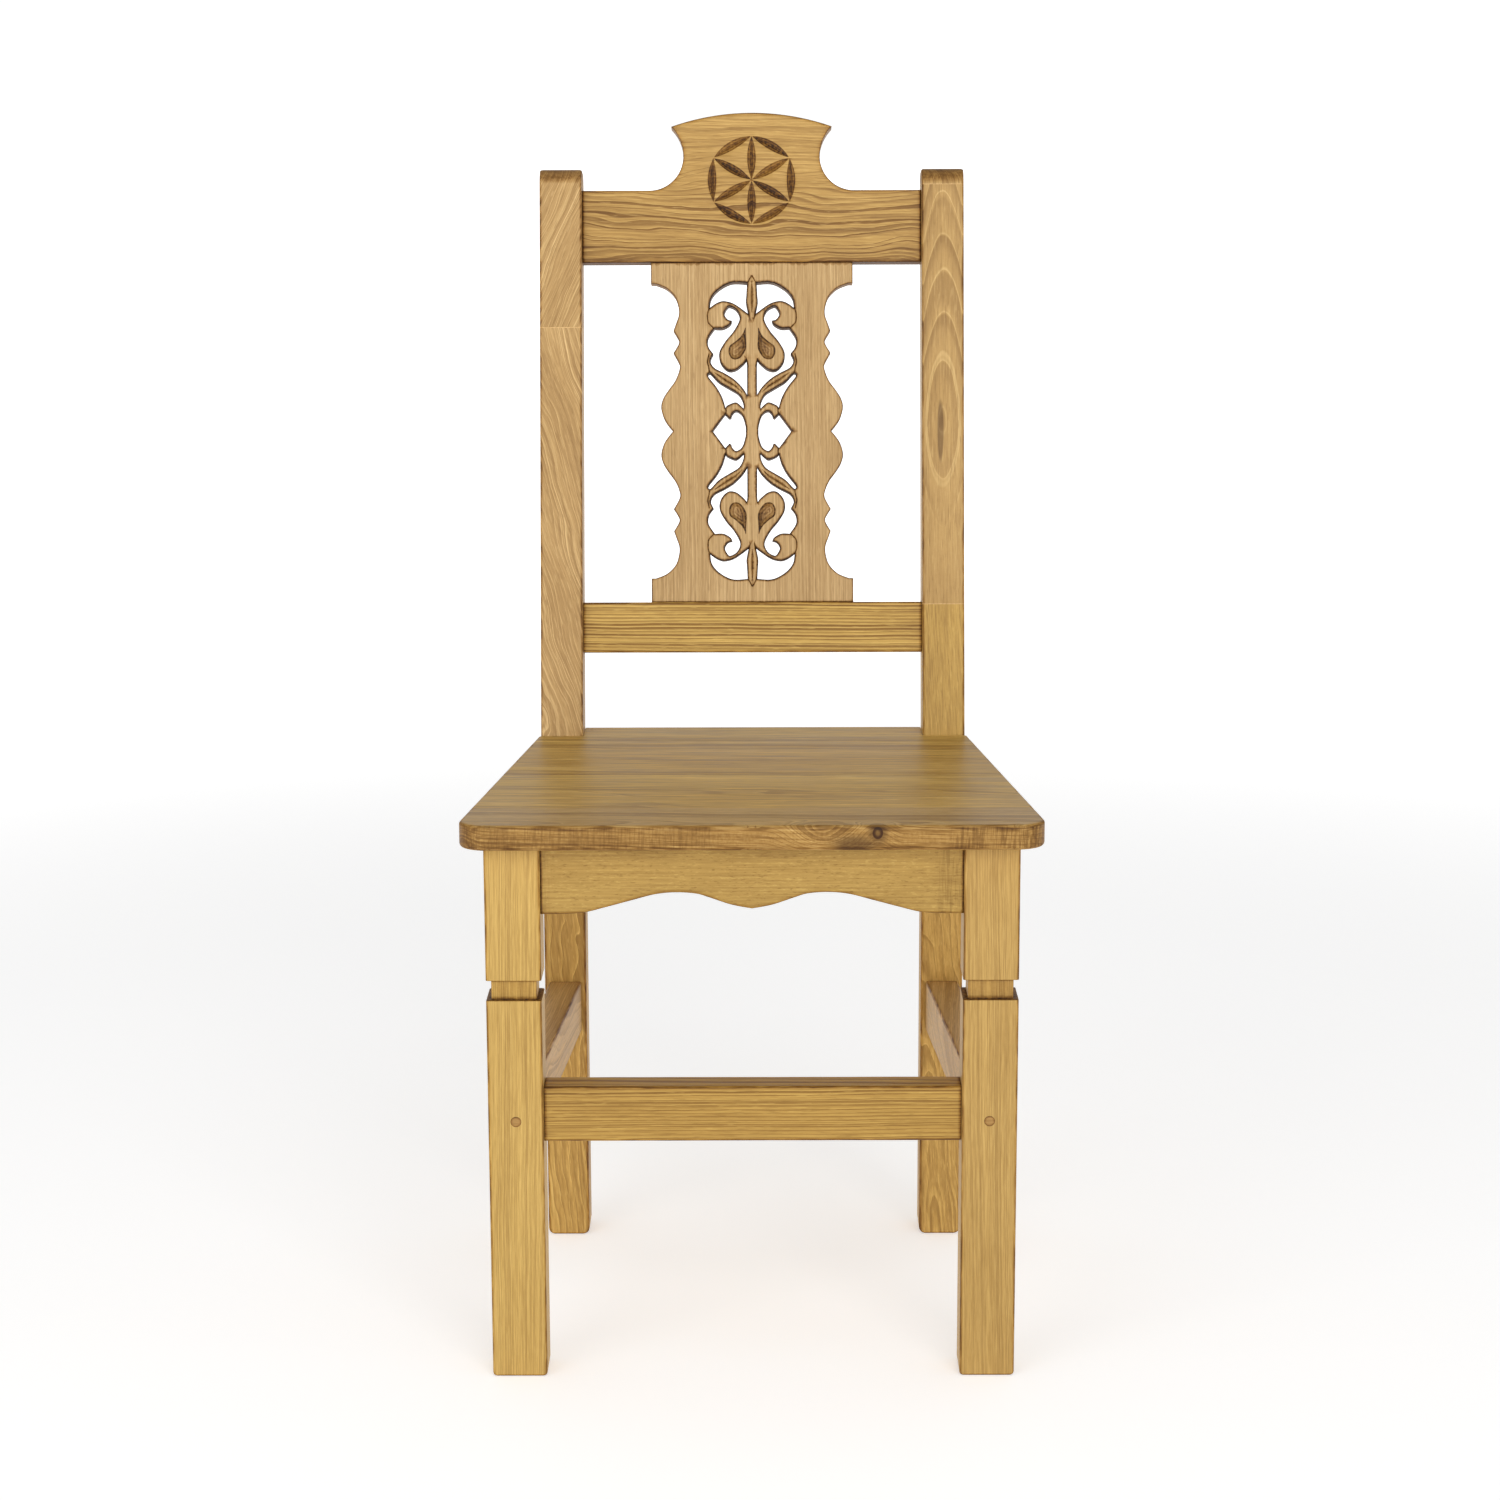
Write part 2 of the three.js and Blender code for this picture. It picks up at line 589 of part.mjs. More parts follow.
// Crest outline: coves rise from the shoulders to a neck, and horns flare out under an arched top
function crestOutline() {
  const half = postInner - fit;
  const neckRise = crestShoulder + coveRadius;
  const coveX = neckHalfWidth + coveRadius;
  const hornRadius = (hornReach ** 2 + hornRise ** 2) / (2 * hornReach);
  const hornAngle = Math.asin(hornRise / hornRadius);
  const tipX = neckHalfWidth + hornReach;
  const sagitta = headHeight - coveRadius - hornRise;
  const topRadius = (tipX ** 2 + sagitta ** 2) / (2 * sagitta);
  const topAngle = Math.asin(tipX / topRadius);
  const topCentre = crestShoulder + headHeight - topRadius;
  const shape = new THREE.Shape();
  shape.moveTo(-half, crestBottom);
  shape.lineTo(half, crestBottom);
  shape.lineTo(half, crestShoulder);
  shape.absarc(coveX, neckRise, coveRadius, -Math.PI / 2, -Math.PI, true);
  shape.absarc(neckHalfWidth + hornRadius, neckRise, hornRadius, Math.PI, Math.PI - hornAngle, true);
  shape.absarc(0, topCentre, topRadius, Math.PI / 2 - topAngle, Math.PI / 2 + topAngle, false);
  shape.absarc(-neckHalfWidth - hornRadius, neckRise, hornRadius, hornAngle, 0, true);
  shape.absarc(-coveX, neckRise, coveRadius, 0, -Math.PI / 2, true);
  shape.lineTo(-half, crestShoulder);
  return shape;
}

// V cut between two bowed edges, pointed at both ends. It runs along X and cuts down from Z = 0.
function petalCutter(length, leftBow, rightBow) {
  const positions = [0, 0, 0];
  for (let step = 1; step < petalSteps; step += 1) {
    const along = step / petalSteps;
    const bow = 4 * along * (1 - along);
    const section = [[leftBow, 0], [leftBow, overrun], [-rightBow, overrun], [-rightBow, 0],
      [(leftBow - rightBow) / 2, -petalDepth]];
    section.forEach(([y, z]) => positions.push(along * length, y * bow, z * bow));
  }
  positions.push(length, 0, 0);
  const corners = 5;
  const end = positions.length / 3 - 1;
  const index = [];
  for (let corner = 0; corner < corners; corner += 1) {
    const next = (corner + 1) % corners;
    index.push(0, 1 + next, 1 + corner);
    index.push(end, end - corners + corner, end - corners + next);
    for (let ring = 0; ring < petalSteps - 2; ring += 1) {
      const here = 1 + ring * corners;
      const there = here + corners;
      index.push(here + corner, here + next, there + next, here + corner, there + next, there + corner);
    }
  }
  const geometry = new THREE.BufferGeometry();
  geometry.setAttribute('position', new THREE.Float32BufferAttribute(positions, 3));
  geometry.setIndex(index);
  return geometry;
}

function onCrestFace(geometry, x, z, angle) {
  const along = new THREE.Vector3(Math.cos(angle), 0, Math.sin(angle));
  const across = new THREE.Vector3(-Math.sin(angle), 0, Math.cos(angle));
  const place = new THREE.Matrix4().makeBasis(along, across, new THREE.Vector3(0, -1, 0));
  place.setPosition(x, railY[0], z);
  return solid(geometry.applyMatrix4(place));
}

// Rosette: petals from the centre to points on a circle, and petals from each point to the next
function rosette() {
  const middle = crestShoulder + rosetteRise;
  const turn = 2 * Math.PI / petalCount;
  const length = rosetteRadius - 2 * petalGap;
  const chord = 2 * rosetteRadius * Math.sin(turn / 2) - 2 * petalGap;
  const outerBow = rosetteRadius * (1 - Math.cos(turn / 2));
  const cuts = [];
  for (let petal = 0; petal < petalCount; petal += 1) {
    const angle = Math.PI / 2 + petal * turn;
    const x = Math.cos(angle);
    const z = Math.sin(angle);
    const spoke = petalCutter(length, petalWidth / 2, petalWidth / 2);
    cuts.push(onCrestFace(spoke, x * petalGap, middle + z * petalGap, angle));
    const chordAngle = angle + Math.PI / 2 + turn / 2;
    const rim = petalCutter(chord, petalWidth - outerBow, outerBow);
    const startX = x * rosetteRadius + Math.cos(chordAngle) * petalGap;
    const startZ = z * rosetteRadius + Math.sin(chordAngle) * petalGap;
    cuts.push(onCrestFace(rim, startX, middle + startZ, chordAngle));
  }
  return joined(cuts);
}

function crestRail() {
  const groove = [crestBottom - overrun, crestBottom + tongueDepth + fit];
  return frontOutline(crestOutline(), railY[0], railThickness)
    .add(crossTenon(postInner, railY, crestTenonZ, 0))
    .subtract(tongue(groove, fit))
    .subtract(rosette());
}

addPiece(back, 'lower_back_rail', lowerBackRail(), waxedPine);
addPiece(back, 'crest_rail', crestRail(), waxedPine);

// Splat: a waisted board, pierced by the same openings mirrored to all four quarters
function splatOutline() {
  const half = splatWidth / 2;
  const upper = stretchPoints(splatEdgeShare, half, ornamentHeight / 2);
  const middle = new THREE.Vector2(splatEdgeShare.at(-1).at(-1)[0] * half, 0);
  const lower = mirrored(upper, 1, -1).reverse();
  const top = crestBottom - fit - ornamentMiddle;
  const bottom = lowerRailTop + fit - ornamentMiddle;
  const right = [new THREE.Vector2(half, top), new THREE.Vector2(half, ornamentHeight / 2), ...upper, middle,
    ...lower, new THREE.Vector2(half, -ornamentHeight / 2), new THREE.Vector2(half, bottom)];
  return new THREE.Shape([...right, ...mirrored(right, -1, 1).reverse()]);
}

function fretOpenings() {
  const openings = [];
  const quarters = [archOpeningShare, scrollOpeningShare, leafOpeningShare]
    .map((rows) => stretchPoints(rows, fretWidth / 2, fretHeight / 2));
  const heart = stretchPoints(heartOpeningShare, fretWidth / 2, fretHeight / 2);
  const heartTip = new THREE.Vector2(heartOpeningShare.at(-1).at(-1)[0] * fretWidth / 2, 0);
  const wholeHeart = [...heart, heartTip, ...mirrored(heart, 1, -1).slice(1).reverse()];
  for (const x of [-1, 1]) {
    openings.push(mirrored(wholeHeart, x, 1));
    for (const y of [-1, 1]) {
      quarters.forEach((points) => openings.push(mirrored(points, x, y)));
    }
  }
  const depth = splatThickness + 2 * overrun;
  return joined(openings.map((points) => frontOutline(new THREE.Shape(points), splatY[0] - overrun, depth)));
}

function splat() {
  return frontOutline(splatOutline(), splatY[0], splatThickness)
    .subtract(fretOpenings())
    .translate([0, 0, ornamentMiddle])
    .add(tongue([crestBottom - splatUpperFlange / 2, crestBottom + tongueDepth], 0))
    .add(tongue([lowerRailTop - tongueDepth, lowerRailTop + splatLowerFlange / 2], 0));
}

addPiece(back, 'back_splat', splat(), waxedPine);
chair.add(back);

// The origin is on the floor, under the middle of the whole chair
const reach = new THREE.Box3().setFromObject(chair);
chair.position.set(0, -(reach.min.y + reach.max.y) / 2, -reach.min.z);

export default chair;
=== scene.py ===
import math
from dataclasses import dataclass

import bmesh
import bpy
import numpy as np
from mathutils import Euler, Matrix, Vector, noise
from mathutils.geometry import delaunay_2d_cdt


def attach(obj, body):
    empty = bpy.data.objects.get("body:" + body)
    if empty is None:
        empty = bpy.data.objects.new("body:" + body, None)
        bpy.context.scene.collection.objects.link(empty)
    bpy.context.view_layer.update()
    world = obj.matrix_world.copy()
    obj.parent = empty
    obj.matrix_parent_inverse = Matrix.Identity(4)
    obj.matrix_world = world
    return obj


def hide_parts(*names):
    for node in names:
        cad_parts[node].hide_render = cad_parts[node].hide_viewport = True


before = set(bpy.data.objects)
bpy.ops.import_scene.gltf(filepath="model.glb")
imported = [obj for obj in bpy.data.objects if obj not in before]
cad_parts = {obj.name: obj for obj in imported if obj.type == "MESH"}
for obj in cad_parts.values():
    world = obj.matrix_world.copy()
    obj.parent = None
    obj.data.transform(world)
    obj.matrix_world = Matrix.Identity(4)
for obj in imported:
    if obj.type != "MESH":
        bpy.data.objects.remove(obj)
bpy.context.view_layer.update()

# Sizes are millimetres and angles are degrees, in the frame of the CAD part. MM turns them into metres.
MM = 0.001
SIDES = (("left", -1), ("right", 1))

# Camera of the photograph, found from the chair's own edges
CAMERA_PLACE = (8.57, -2747.9, 1029.1)
CAMERA_LENS = 79.73
CAMERA_PITCH = 11.5  # below the horizon
CAMERA_HEADING = 0.222  # to the left
CAMERA_ROLL = -0.178
CAMERA_SENSOR = 36


def turned(angle, axis):
    return Matrix.Rotation(math.radians(angle), 4, axis)


def new_object(name, data):
    made = bpy.data.objects.new(name, data)
    bpy.context.scene.collection.objects.link(made)
    return made


def add_camera():
    data = bpy.data.cameras.new("camera")
    data.sensor_width = CAMERA_SENSOR
    data.lens = CAMERA_LENS
    data.clip_end = 100
    camera = new_object("camera", data)
    place = Matrix.Translation(Vector(CAMERA_PLACE) * MM)
    camera.matrix_world = (place @ turned(CAMERA_HEADING, "Z") @ turned(90 - CAMERA_PITCH, "X")
                           @ turned(CAMERA_ROLL, "Z"))
    bpy.context.scene.camera = camera


# Measures of the CAD part
def extent(node, place=Matrix.Identity(4)):
    """Lowest and highest corner of a CAD node, in the frame that place gives."""
    inverse = place.inverted()
    corners = np.array([inverse @ (vertex.co / MM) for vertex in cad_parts[node].data.vertices])
    return corners.min(0), corners.max(0)


RAKE = 10.8
POST_DEPTH = 38
KNEE_DROP = POST_DEPTH * math.tan(math.radians(RAKE / 2))  # from the front knee to the rear one
leg_low, leg_high = extent("front_leg_right")
post_low, post_high = extent("rear_post_right")
seat_low, seat_high = extent("seat_board_1")
SEAT_TOP = seat_high[2]
SEAT_BOTTOM = seat_low[2]
FRAME_TOP = leg_high[2]
LEG_FRONT = leg_low[1]
LEG_REAR = leg_high[1]
LEG_WIDTH = leg_high[0] - leg_low[0]
LEG_DEPTH = leg_high[1] - leg_low[1]
LEG_X = (leg_high[0] + leg_low[0]) / 2
POST_WIDTH = post_high[0] - post_low[0]
POST_X = (post_high[0] + post_low[0]) / 2
POST_INNER = post_low[0]
LEG_INNER = leg_low[0]
POST_FRONT = post_low[1]
POST_REAR = POST_FRONT + POST_DEPTH
JOINT_GAP = 0.1  # shown between two pieces that are glued

back = Matrix.Translation((0, POST_FRONT, SEAT_TOP)) @ turned(-RAKE, "X")
rail_low, rail_high = extent("lower_back_rail", back)
crest_low, crest_high = extent("crest_rail", back)
splat_low, splat_high = extent("back_splat", back)
POST_LENGTH = extent("rear_post_right", back)[1][2]
FACING = Matrix(((1, 0, 0, 0), (0, 0, 1, 0), (0, 1, 0, 0), (0, 0, 0, 1)))  # turns a board's face forward

# Outlines of the splat from its middle, as shares of half a width and half a height. Each
# row is a smooth stretch, which starts in the corner where the row before it stops.
SPLAT_EDGE_SHARE = [
    [(0.958, 1), (0.847, 0.968), (0.763, 0.91), (0.729, 0.843), (0.725, 0.786), (0.752, 0.73), (0.778, 0.68)],
    [(0.73, 0.624), (0.724, 0.596), (0.752, 0.558), (0.779, 0.53)],
    [(0.72, 0.453), (0.724, 0.406), (0.765, 0.338), (0.835, 0.272), (0.885, 0.215), (0.902, 0.158),
     (0.878, 0.092), (0.836, 0.044), (0.783, 0)],
]
ARCH_OPENING_SHARE = [
    [(0.11, 1.001), (0.449, 1.003), (0.736, 0.96), (0.91, 0.9), (0.955, 0.831)],
    [(0.85, 0.855), (0.736, 0.873), (0.605, 0.878), (0.39, 0.858), (0.082, 0.792)],
    [(0.133, 0.869), (0.126, 0.912), (0.11, 1.001)],
]
SCROLL_OPENING_SHARE = [
    [(0.449, 0.746), (0.549, 0.755), (0.62, 0.792), (0.549, 0.837), (0.477, 0.842), (0.34, 0.815),
     (0.277, 0.757), (0.405, 0.678), (0.6, 0.606), (0.736, 0.531), (0.708, 0.462), (0.549, 0.411),
     (0.362, 0.415), (0.19, 0.455), (0.125, 0.48)],
    [(0.113, 0.45)],
    [(0.113, 0.245)],
    [(0.218, 0.294), (0.405, 0.35), (0.62, 0.391), (0.851, 0.428), (0.936, 0.475), (0.872, 0.523)],
    [(0.979, 0.569), (0.987, 0.628), (0.844, 0.695)],
    [(0.649, 0.695), (0.492, 0.721), (0.449, 0.746)],
]
LEAF_OPENING_SHARE = [
    [(0.951, 0.392), (0.9, 0.378), (0.749, 0.331), (0.521, 0.289), (0.305, 0.248), (0.205, 0.195),
     (0.192, 0.152)],
    [(0.313, 0.186), (0.397, 0.193), (0.556, 0.173), (0.6, 0.157)],
    [(0.672, 0.227), (0.8, 0.296), (0.977, 0.364), (0.99, 0.386), (0.951, 0.392)],
]
HEART_OPENING_SHARE = [
    [(0.144, 0), (0.151, 0.04), (0.226, 0.108), (0.362, 0.135), (0.451, 0.111), (0.469, 0.092),
     (0.513, 0.085)],
    [(0.608, 0.114)],
    [(0.89, 0)],
]
# Carving of the splat, from its middle: outline of the gouged drop, and lines of the V cuts
DROP_SHARE = [
    (0.146, 0.697), (0.146, 0.654), (0.138, 0.611), (0.133, 0.578), (0.146, 0.552), (0.197, 0.522),
    (0.277, 0.494), (0.377, 0.485), (0.462, 0.494), (0.513, 0.522), (0.518, 0.552), (0.492, 0.576),
    (0.449, 0.585), (0.349, 0.608), (0.246, 0.637), (0.182, 0.667),
]
VEIN_SHARE = [(0.86, 0.398), (0.664, 0.358), (0.533, 0.332), (0.39, 0.307), (0.233, 0.264)]
SPEAR_SHARE = [(0, 1.005), (0, 0.93), (0, 0.87), (0, 0.805)]
SPEAR_TIP_SHARE = [(0.115, 0.985), (0.062, 1.02), (0, 1.052)]
SCROLL_SEAM_SHARE = [(0.96, 0.832), (1.0, 0.79), (0.99, 0.74), (0.93, 0.715), (0.855, 0.695)]
SCROLL_ROOT_SHARE = [(0.082, 0.8), (0.05, 0.765)]
LEAF_ROOT_SHARE = [(0.125, 0.49), (0.085, 0.44)]
LEAF_SEAM_SHARE = [(0.97, 0.52), (1.005, 0.47), (0.975, 0.43), (0.96, 0.4)]
HOOK_SEAM_SHARE = [(0.6, 0.157), (0.585, 0.135), (0.605, 0.114)]
SEAM_SHARES = (SPEAR_TIP_SHARE, SCROLL_SEAM_SHARE, SCROLL_ROOT_SHARE, LEAF_SEAM_SHARE, LEAF_ROOT_SHARE,
               HOOK_SEAM_SHARE)

FRET_WIDTH = 78
FRET_HEIGHT = 260
ORNAMENT_HEIGHT = 259.2
ORNAMENT_BOTTOM = 138.5
# Lower edge of the front apron, as shares of half its length and of the rise
SCALLOP_SHARE = [(0.885, 0), (0.79, 0.08), (0.694, 0.31), (0.567, 0.64), (0.459, 0.91), (0.362, 1),
                 (0.266, 0.94), (0.205, 0.77), (0.115, 0.47), (0.06, 0.34), (0, 0.24)]
SCALLOP_RISE = 17.3

CURVE_STEP = 1.2  # length of one straight step in a curve
ROW_STEP = 6  # between points in a row beside an edge
NEARLY = 0.97  # share of a wanted distance that is enough
TINY = 1e-6  # a length that counts as nothing
ON_LINE = 0.01  # a point this close to a line is on it
MERGE_GAP = 1e-4  # points of a mesh that are closer become one


# Outlines
def smooth(points):
    """Points of a smooth stretch through the given ones, without its last point."""
    points = np.array(points, float)
    if len(points) == 2:
        return points[:1]
    made = []
    for index in range(len(points) - 1):
        first, last = points[index], points[index + 1]
        before = (last - points[max(index - 1, 0)]) / 2
        after = (points[min(index + 2, len(points) - 1)] - first) / 2
        steps = max(1, math.ceil(np.linalg.norm(last - first) / CURVE_STEP))
        for t in np.arange(steps) / steps:
            cubic = 2 * first - 2 * last + before + after
            square = 3 * last - 3 * first - 2 * before - after
            made.append(cubic * t ** 3 + square * t ** 2 + before * t + first)
    return np.array(made)


def stretches(rows, half_width, half_height):
    """Smooth stretches through points given as shares, each from the last point of the one before."""
    starts = [[]] + [row[-1:] for row in rows]
    return np.concatenate([smooth(np.array(start + row) * (half_width, half_height))
                           for start, row in zip(starts, rows)])


def arc(centre, radius, start, stop, steps):
    angles = np.radians(np.linspace(start, stop, steps + 1))
    return np.array(centre) + radius * np.stack([np.cos(angles), np.sin(angles)], 1)


def mirrored(points):
    """The same points on the other side of the middle, in reverse order."""
    return (np.array(points) * (-1, 1))[::-1]


def flipped(points):
    """The same points upside down, in reverse order."""
    return (np.array(points) * (1, -1))[::-1]


def unit(angle):
    """A step of length one at an angle."""
    return np.array((math.cos(angle), math.sin(angle)))


def left_of(runs):
    """Steps of length one to the left of some runs."""
    return np.stack([-runs[:, 1], runs[:, 0]], 1) / np.hypot(*runs.T)[:, None]


def turning(outline, direction):
    """The outline, run counterclockwise if direction is 1 and clockwise if it is -1."""
    after = np.roll(outline, -1, 0)
    area = (outline[:, 0] * after[:, 1] - after[:, 0] * outline[:, 1]).sum()
    return outline if area * direction > 0 else outline[::-1]


def inside(points, outlines):
    """Whether each point lies inside an odd number of the outlines."""
    crossings = np.zeros(len(points), int)
    for outline in outlines:
        for (x0, y0), (x1, y1) in zip(outline, np.roll(outline, -1, 0)):
            if y0 != y1:
                beside = (y0 > points[:, 1]) != (y1 > points[:, 1])
                crossings += beside & (points[:, 0] < x0 + (points[:, 1] - y0) * (x1 - x0) / (y1 - y0))
    return crossings % 2 == 1


def straight_steps(line, closed):
    """Where the straight steps of a line start and where they stop."""
    stops = np.roll(line, -1, 0)
    return (line, stops) if closed else (line[:-1], stops[:-1])


def nearest(points, line, closed):
    """Distance from each point to a line of straight steps, and the share of the line passed there."""
    starts, stops = straight_steps(line, closed)
    found = np.full(len(points), np.inf)
    passed = np.zeros(len(points))
    for index, (start, step) in enumerate(zip(starts, stops - starts)):
        offset = points - start
        along = np.clip(offset @ step / max(step @ step, TINY ** 2), 0, 1)
        gap = np.hypot(*(offset - along[:, None] * step).T)
        closer = gap < found
        found[closer] = gap[closer]
        passed[closer] = (index + along[closer]) / len(starts)
    return found, passed


def gap_to(points, lines):
    """Distance from each point to the nearest of some lines, each given with whether it is closed."""
    return np.min([nearest(points, line, closed)[0] for line, closed in lines], 0)


def grid_inside(outlines, spacing):
    """Points of a square grid that lie inside the outlines."""
    low, high = outlines[0].min(0), outlines[0].max(0)
    axes = [np.arange(start, stop, spacing) for start, stop in zip(low, high)]
    grid = np.stack(np.meshgrid(*axes), -1).reshape(-1, 2)
    return grid[inside(grid, outlines)]


def rim_rows(lines, distances):
    """Points in rows on the left of the lines, at the given distances from them and from all others."""
    rows, wanted = [], []
    for line, closed in lines:
        for start, stop in zip(*straight_steps(line, closed)):
            run = stop - start
            length = np.hypot(*run)
            if length == 0:
                continue
            across = np.array([-run[1], run[0]]) / length
            count = max(1, round(length / ROW_STEP))
            shares = (np.arange(count) + 0.5) / count
            for distance in distances:
                rows.append(start + shares[:, None] * run + across * distance)
                wanted.extend([distance] * count)
    points = np.concatenate(rows)
    return points[gap_to(points, lines) > np.array(wanted) * NEARLY]


# Pieces
RIM_LINE = 0.9  # width of the line of wax along a sawn outer edge
RIM_SHARE = 0.75  # its strength beside the line along an opening
FRET_LINE = 1.5  # width of the line along an opening
LINE_REACH = 1.4  # widths over which a line runs out
JOINT_WAX_REACH = 1.8
# Wax and painted shade on the walls of the openings
FRET_WALL_WAX_AND_SHADE = 0.66
ROW_SHARES = (0.13, 0.5, 1, 2, 3.4)  # places of the mesh's rows beside a worn edge, in radii of the edge
WALL_LEVELS = (0.12, 0.3, 0.7, 0.88)  # rows of the walls, as shares of the thickness
WALL_EDGES = (0.8, 0.55, 0.55, 0.8)  # how much of an edge each of them is
SHARP_ANGLE = 50


def rim_line(points, lines, strength):
    """Wax along a board's edges, with more round the openings, where it is partly painted shade."""
    wax = np.zeros(len(points))
    for index, (line, closed) in enumerate(lines):
        width, share = (FRET_LINE, 1) if index else (RIM_LINE, RIM_SHARE)
        found = strength * share * np.clip(LINE_REACH - nearest(points, line, closed)[0] / width, 0, 1)
        wax = np.maximum(wax, found)
    return wax


def rounding_drop(distance, radius):
    """How far a rounded edge falls below its face, at a distance from the edge."""
    inner = np.clip(radius - distance, 0, radius)
    return radius - np.sqrt(radius ** 2 - inner ** 2)


def add_piece(node, vertices, faces, marks, materials, numbers=None):
    """Adds the piece that stands for a CAD node. Marks are values for each vertex, which the materials
    read. Numbers say which of the materials each face has."""
    name = f"{node}_wood"
    mesh = bpy.data.meshes.new(name)
    mesh.from_pydata(np.array(vertices) * MM, [], [list(map(int, face)) for face in faces])
    for mark, values in marks.items():
        mesh.attributes.new(mark, "FLOAT", "POINT").data.foreach_set("value", np.array(values, np.float32))
    if numbers is not None:
        mesh.polygons.foreach_set("material_index", np.array(numbers, np.int32))
    solid = bmesh.new()
    solid.from_mesh(mesh)
    bmesh.ops.recalc_face_normals(solid, faces=solid.faces)
    solid.to_mesh(mesh)
    solid.free()
    for material in materials:
        mesh.materials.append(material)
    mesh.polygons.foreach_set("use_smooth", [True] * len(mesh.polygons))
    mesh.set_sharp_from_angle(angle=math.radians(SHARP_ANGLE))
    piece = new_object(name, mesh)
    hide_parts(node)
    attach(piece, "root")


def transformed(place, points):
    matrix = np.array(place)
    return np.array(points) @ matrix[:3, :3].T + matrix[:3, 3]


def on_back(*point):
    """Where a point of the raked back's frame is."""
    return transformed(back, [point])[0]


def face_mesh(outlines, worn, cuts, offsets, spacing):
    """Points and triangles of a board's face. The mesh follows the outlines and the lines of the cuts, and
    takes in the points of their grids. It has rows of points at the offsets from the worn edges, and a
    square grid in between."""
    rims = [(outline, True) for outline in outlines]
    lines = [line for cut in cuts for line in cut.lines()]
    grid = grid_inside(outlines, spacing)
    grid = grid[np.minimum(gap_to(grid, worn) - offsets[-1], gap_to(grid, rims)) > offsets[0]]
    rows = rim_rows(worn, offsets)
    rows = rows[inside(rows, outlines)]
    rows = rows[gap_to(rows, rims) > offsets[0] * NEARLY]
    corners, edges = [], []
    for line, closed in rims + lines:
        first = len(corners)
        corners.extend(line)
        edges.extend((first + index, first + index + 1) for index in range(len(line) - 1))
        if closed:
            edges.append((len(corners) - 1, first))
    corners.extend(np.concatenate([grid, rows] + [cut.grid() for cut in cuts]))
    made = delaunay_2d_cdt([Vector(corner) for corner in corners], edges, [], 0, MERGE_GAP)
    points = np.array([corner[:] for corner in made[0]])
    triangles = np.array(made[2])
    triangles = triangles[inside(points[triangles].mean(1), outlines)]
    used, triangles = np.unique(triangles, return_inverse=True)
    return points[used], triangles.reshape(-1, 3)


def open_sides(triangles):
    """The sides that belong to one triangle only."""
    sides = np.sort(triangles[:, [[0, 1], [1, 2], [2, 0]]].reshape(-1, 2), 1)
    sides, uses = np.unique(sides, axis=0, return_counts=True)
    return sides[uses == 1]


def add_board(node, outlines, thickness, place, material, *, radius=0.8, worn=None, cuts=(), spacing=6,
              rows=None, rim_wax=0.0, wall_wax_and_shade=0.0, joint_wax=0.0):
    """A flat board with openings. The first outline is its edge and the others are openings. In its own
    frame X and Y run along the face and Z runs into the wood. Worn lists the outlines whose edges are
    rounded, all of them if it isn't given. Cuts are what is carved into the face."""
    outlines = [turning(outline, -1 if index else 1) for index, outline in enumerate(outlines)]
    worn = worn or [(outline, True) for outline in outlines]
    offsets = rows or [radius * share for share in ROW_SHARES]
    flat, triangles = face_mesh(outlines, worn, cuts, offsets, spacing)
    gap = gap_to(flat, worn)
    depth, wax = np.max([cut.cut(flat) for cut in cuts], 0) if cuts else (0, 0)
    rim = rim_line(flat, worn, rim_wax)
    to_joint = outlines[0][:, 0].max() - np.abs(flat[:, 0])
    wax = np.maximum(np.maximum(wax, rim), joint_wax * np.clip(JOINT_WAX_REACH - to_joint, 0, 1))
    edge = np.clip(1 - gap / offsets[-1], 0, 1)
    drop = rounding_drop(gap, radius)
    front = np.column_stack([flat, depth + drop])
    rear = np.column_stack([flat, thickness - drop])

    # Walls between the two faces, in rows
    wall, sides = np.unique(open_sides(triangles), return_inverse=True)
    count, length = len(flat), len(wall)
    walls = [front[wall] * (1 - level) + rear[wall] * level for level in WALL_LEVELS]
    chain = [wall, *(np.arange(2 * count, 2 * count + len(walls) * length).reshape(-1, length)), wall + count]
    faces = list(triangles) + list(triangles[:, ::-1] + count)
    for upper, lower in zip(chain, chain[1:]):
        faces.extend((upper[a], upper[b], lower[b], lower[a]) for a, b in sides.reshape(-1, 2))
    on_edge = nearest(flat[wall], outlines[0], True)[0] < ON_LINE
    # Wax and painted shade on the walls, darkest round the openings
    walls_wax_and_shade = np.tile(np.where(on_edge, wall_wax_and_shade, max(wall_wax_and_shade, FRET_WALL_WAX_AND_SHADE)), len(walls))
    marks = {"edge": np.concatenate([edge, edge, np.repeat(WALL_EDGES, length)]),
             "wax": np.concatenate([wax, rim, walls_wax_and_shade])}
    add_piece(node, transformed(place, np.concatenate([front, rear, *walls])), faces, marks, [material])


CORNER_STEPS = 4
RIM_WIDTH = 1.3  # of the flat beside a rounded edge that carries some wax
WEAR = 0.35  # share of a corner radius that comes and goes along a bar
WEAR_LENGTH = 45
BAR_STEP = 16
BAR_RADIUS = 1.6
END_EASE = 0.45  # rounding of a bar's ends
END_WAX = 0.75
END_WAX_REACH = 2.4
# Distances of the mesh's rings from a bar's end
END_RINGS = (0, END_EASE * 0.13, END_EASE * 0.5, END_EASE, END_EASE + 0.9, END_EASE + END_WAX_REACH)
LETTER_SEED = 0.37  # for each letter of a bar's name, so that no two bars wear alike


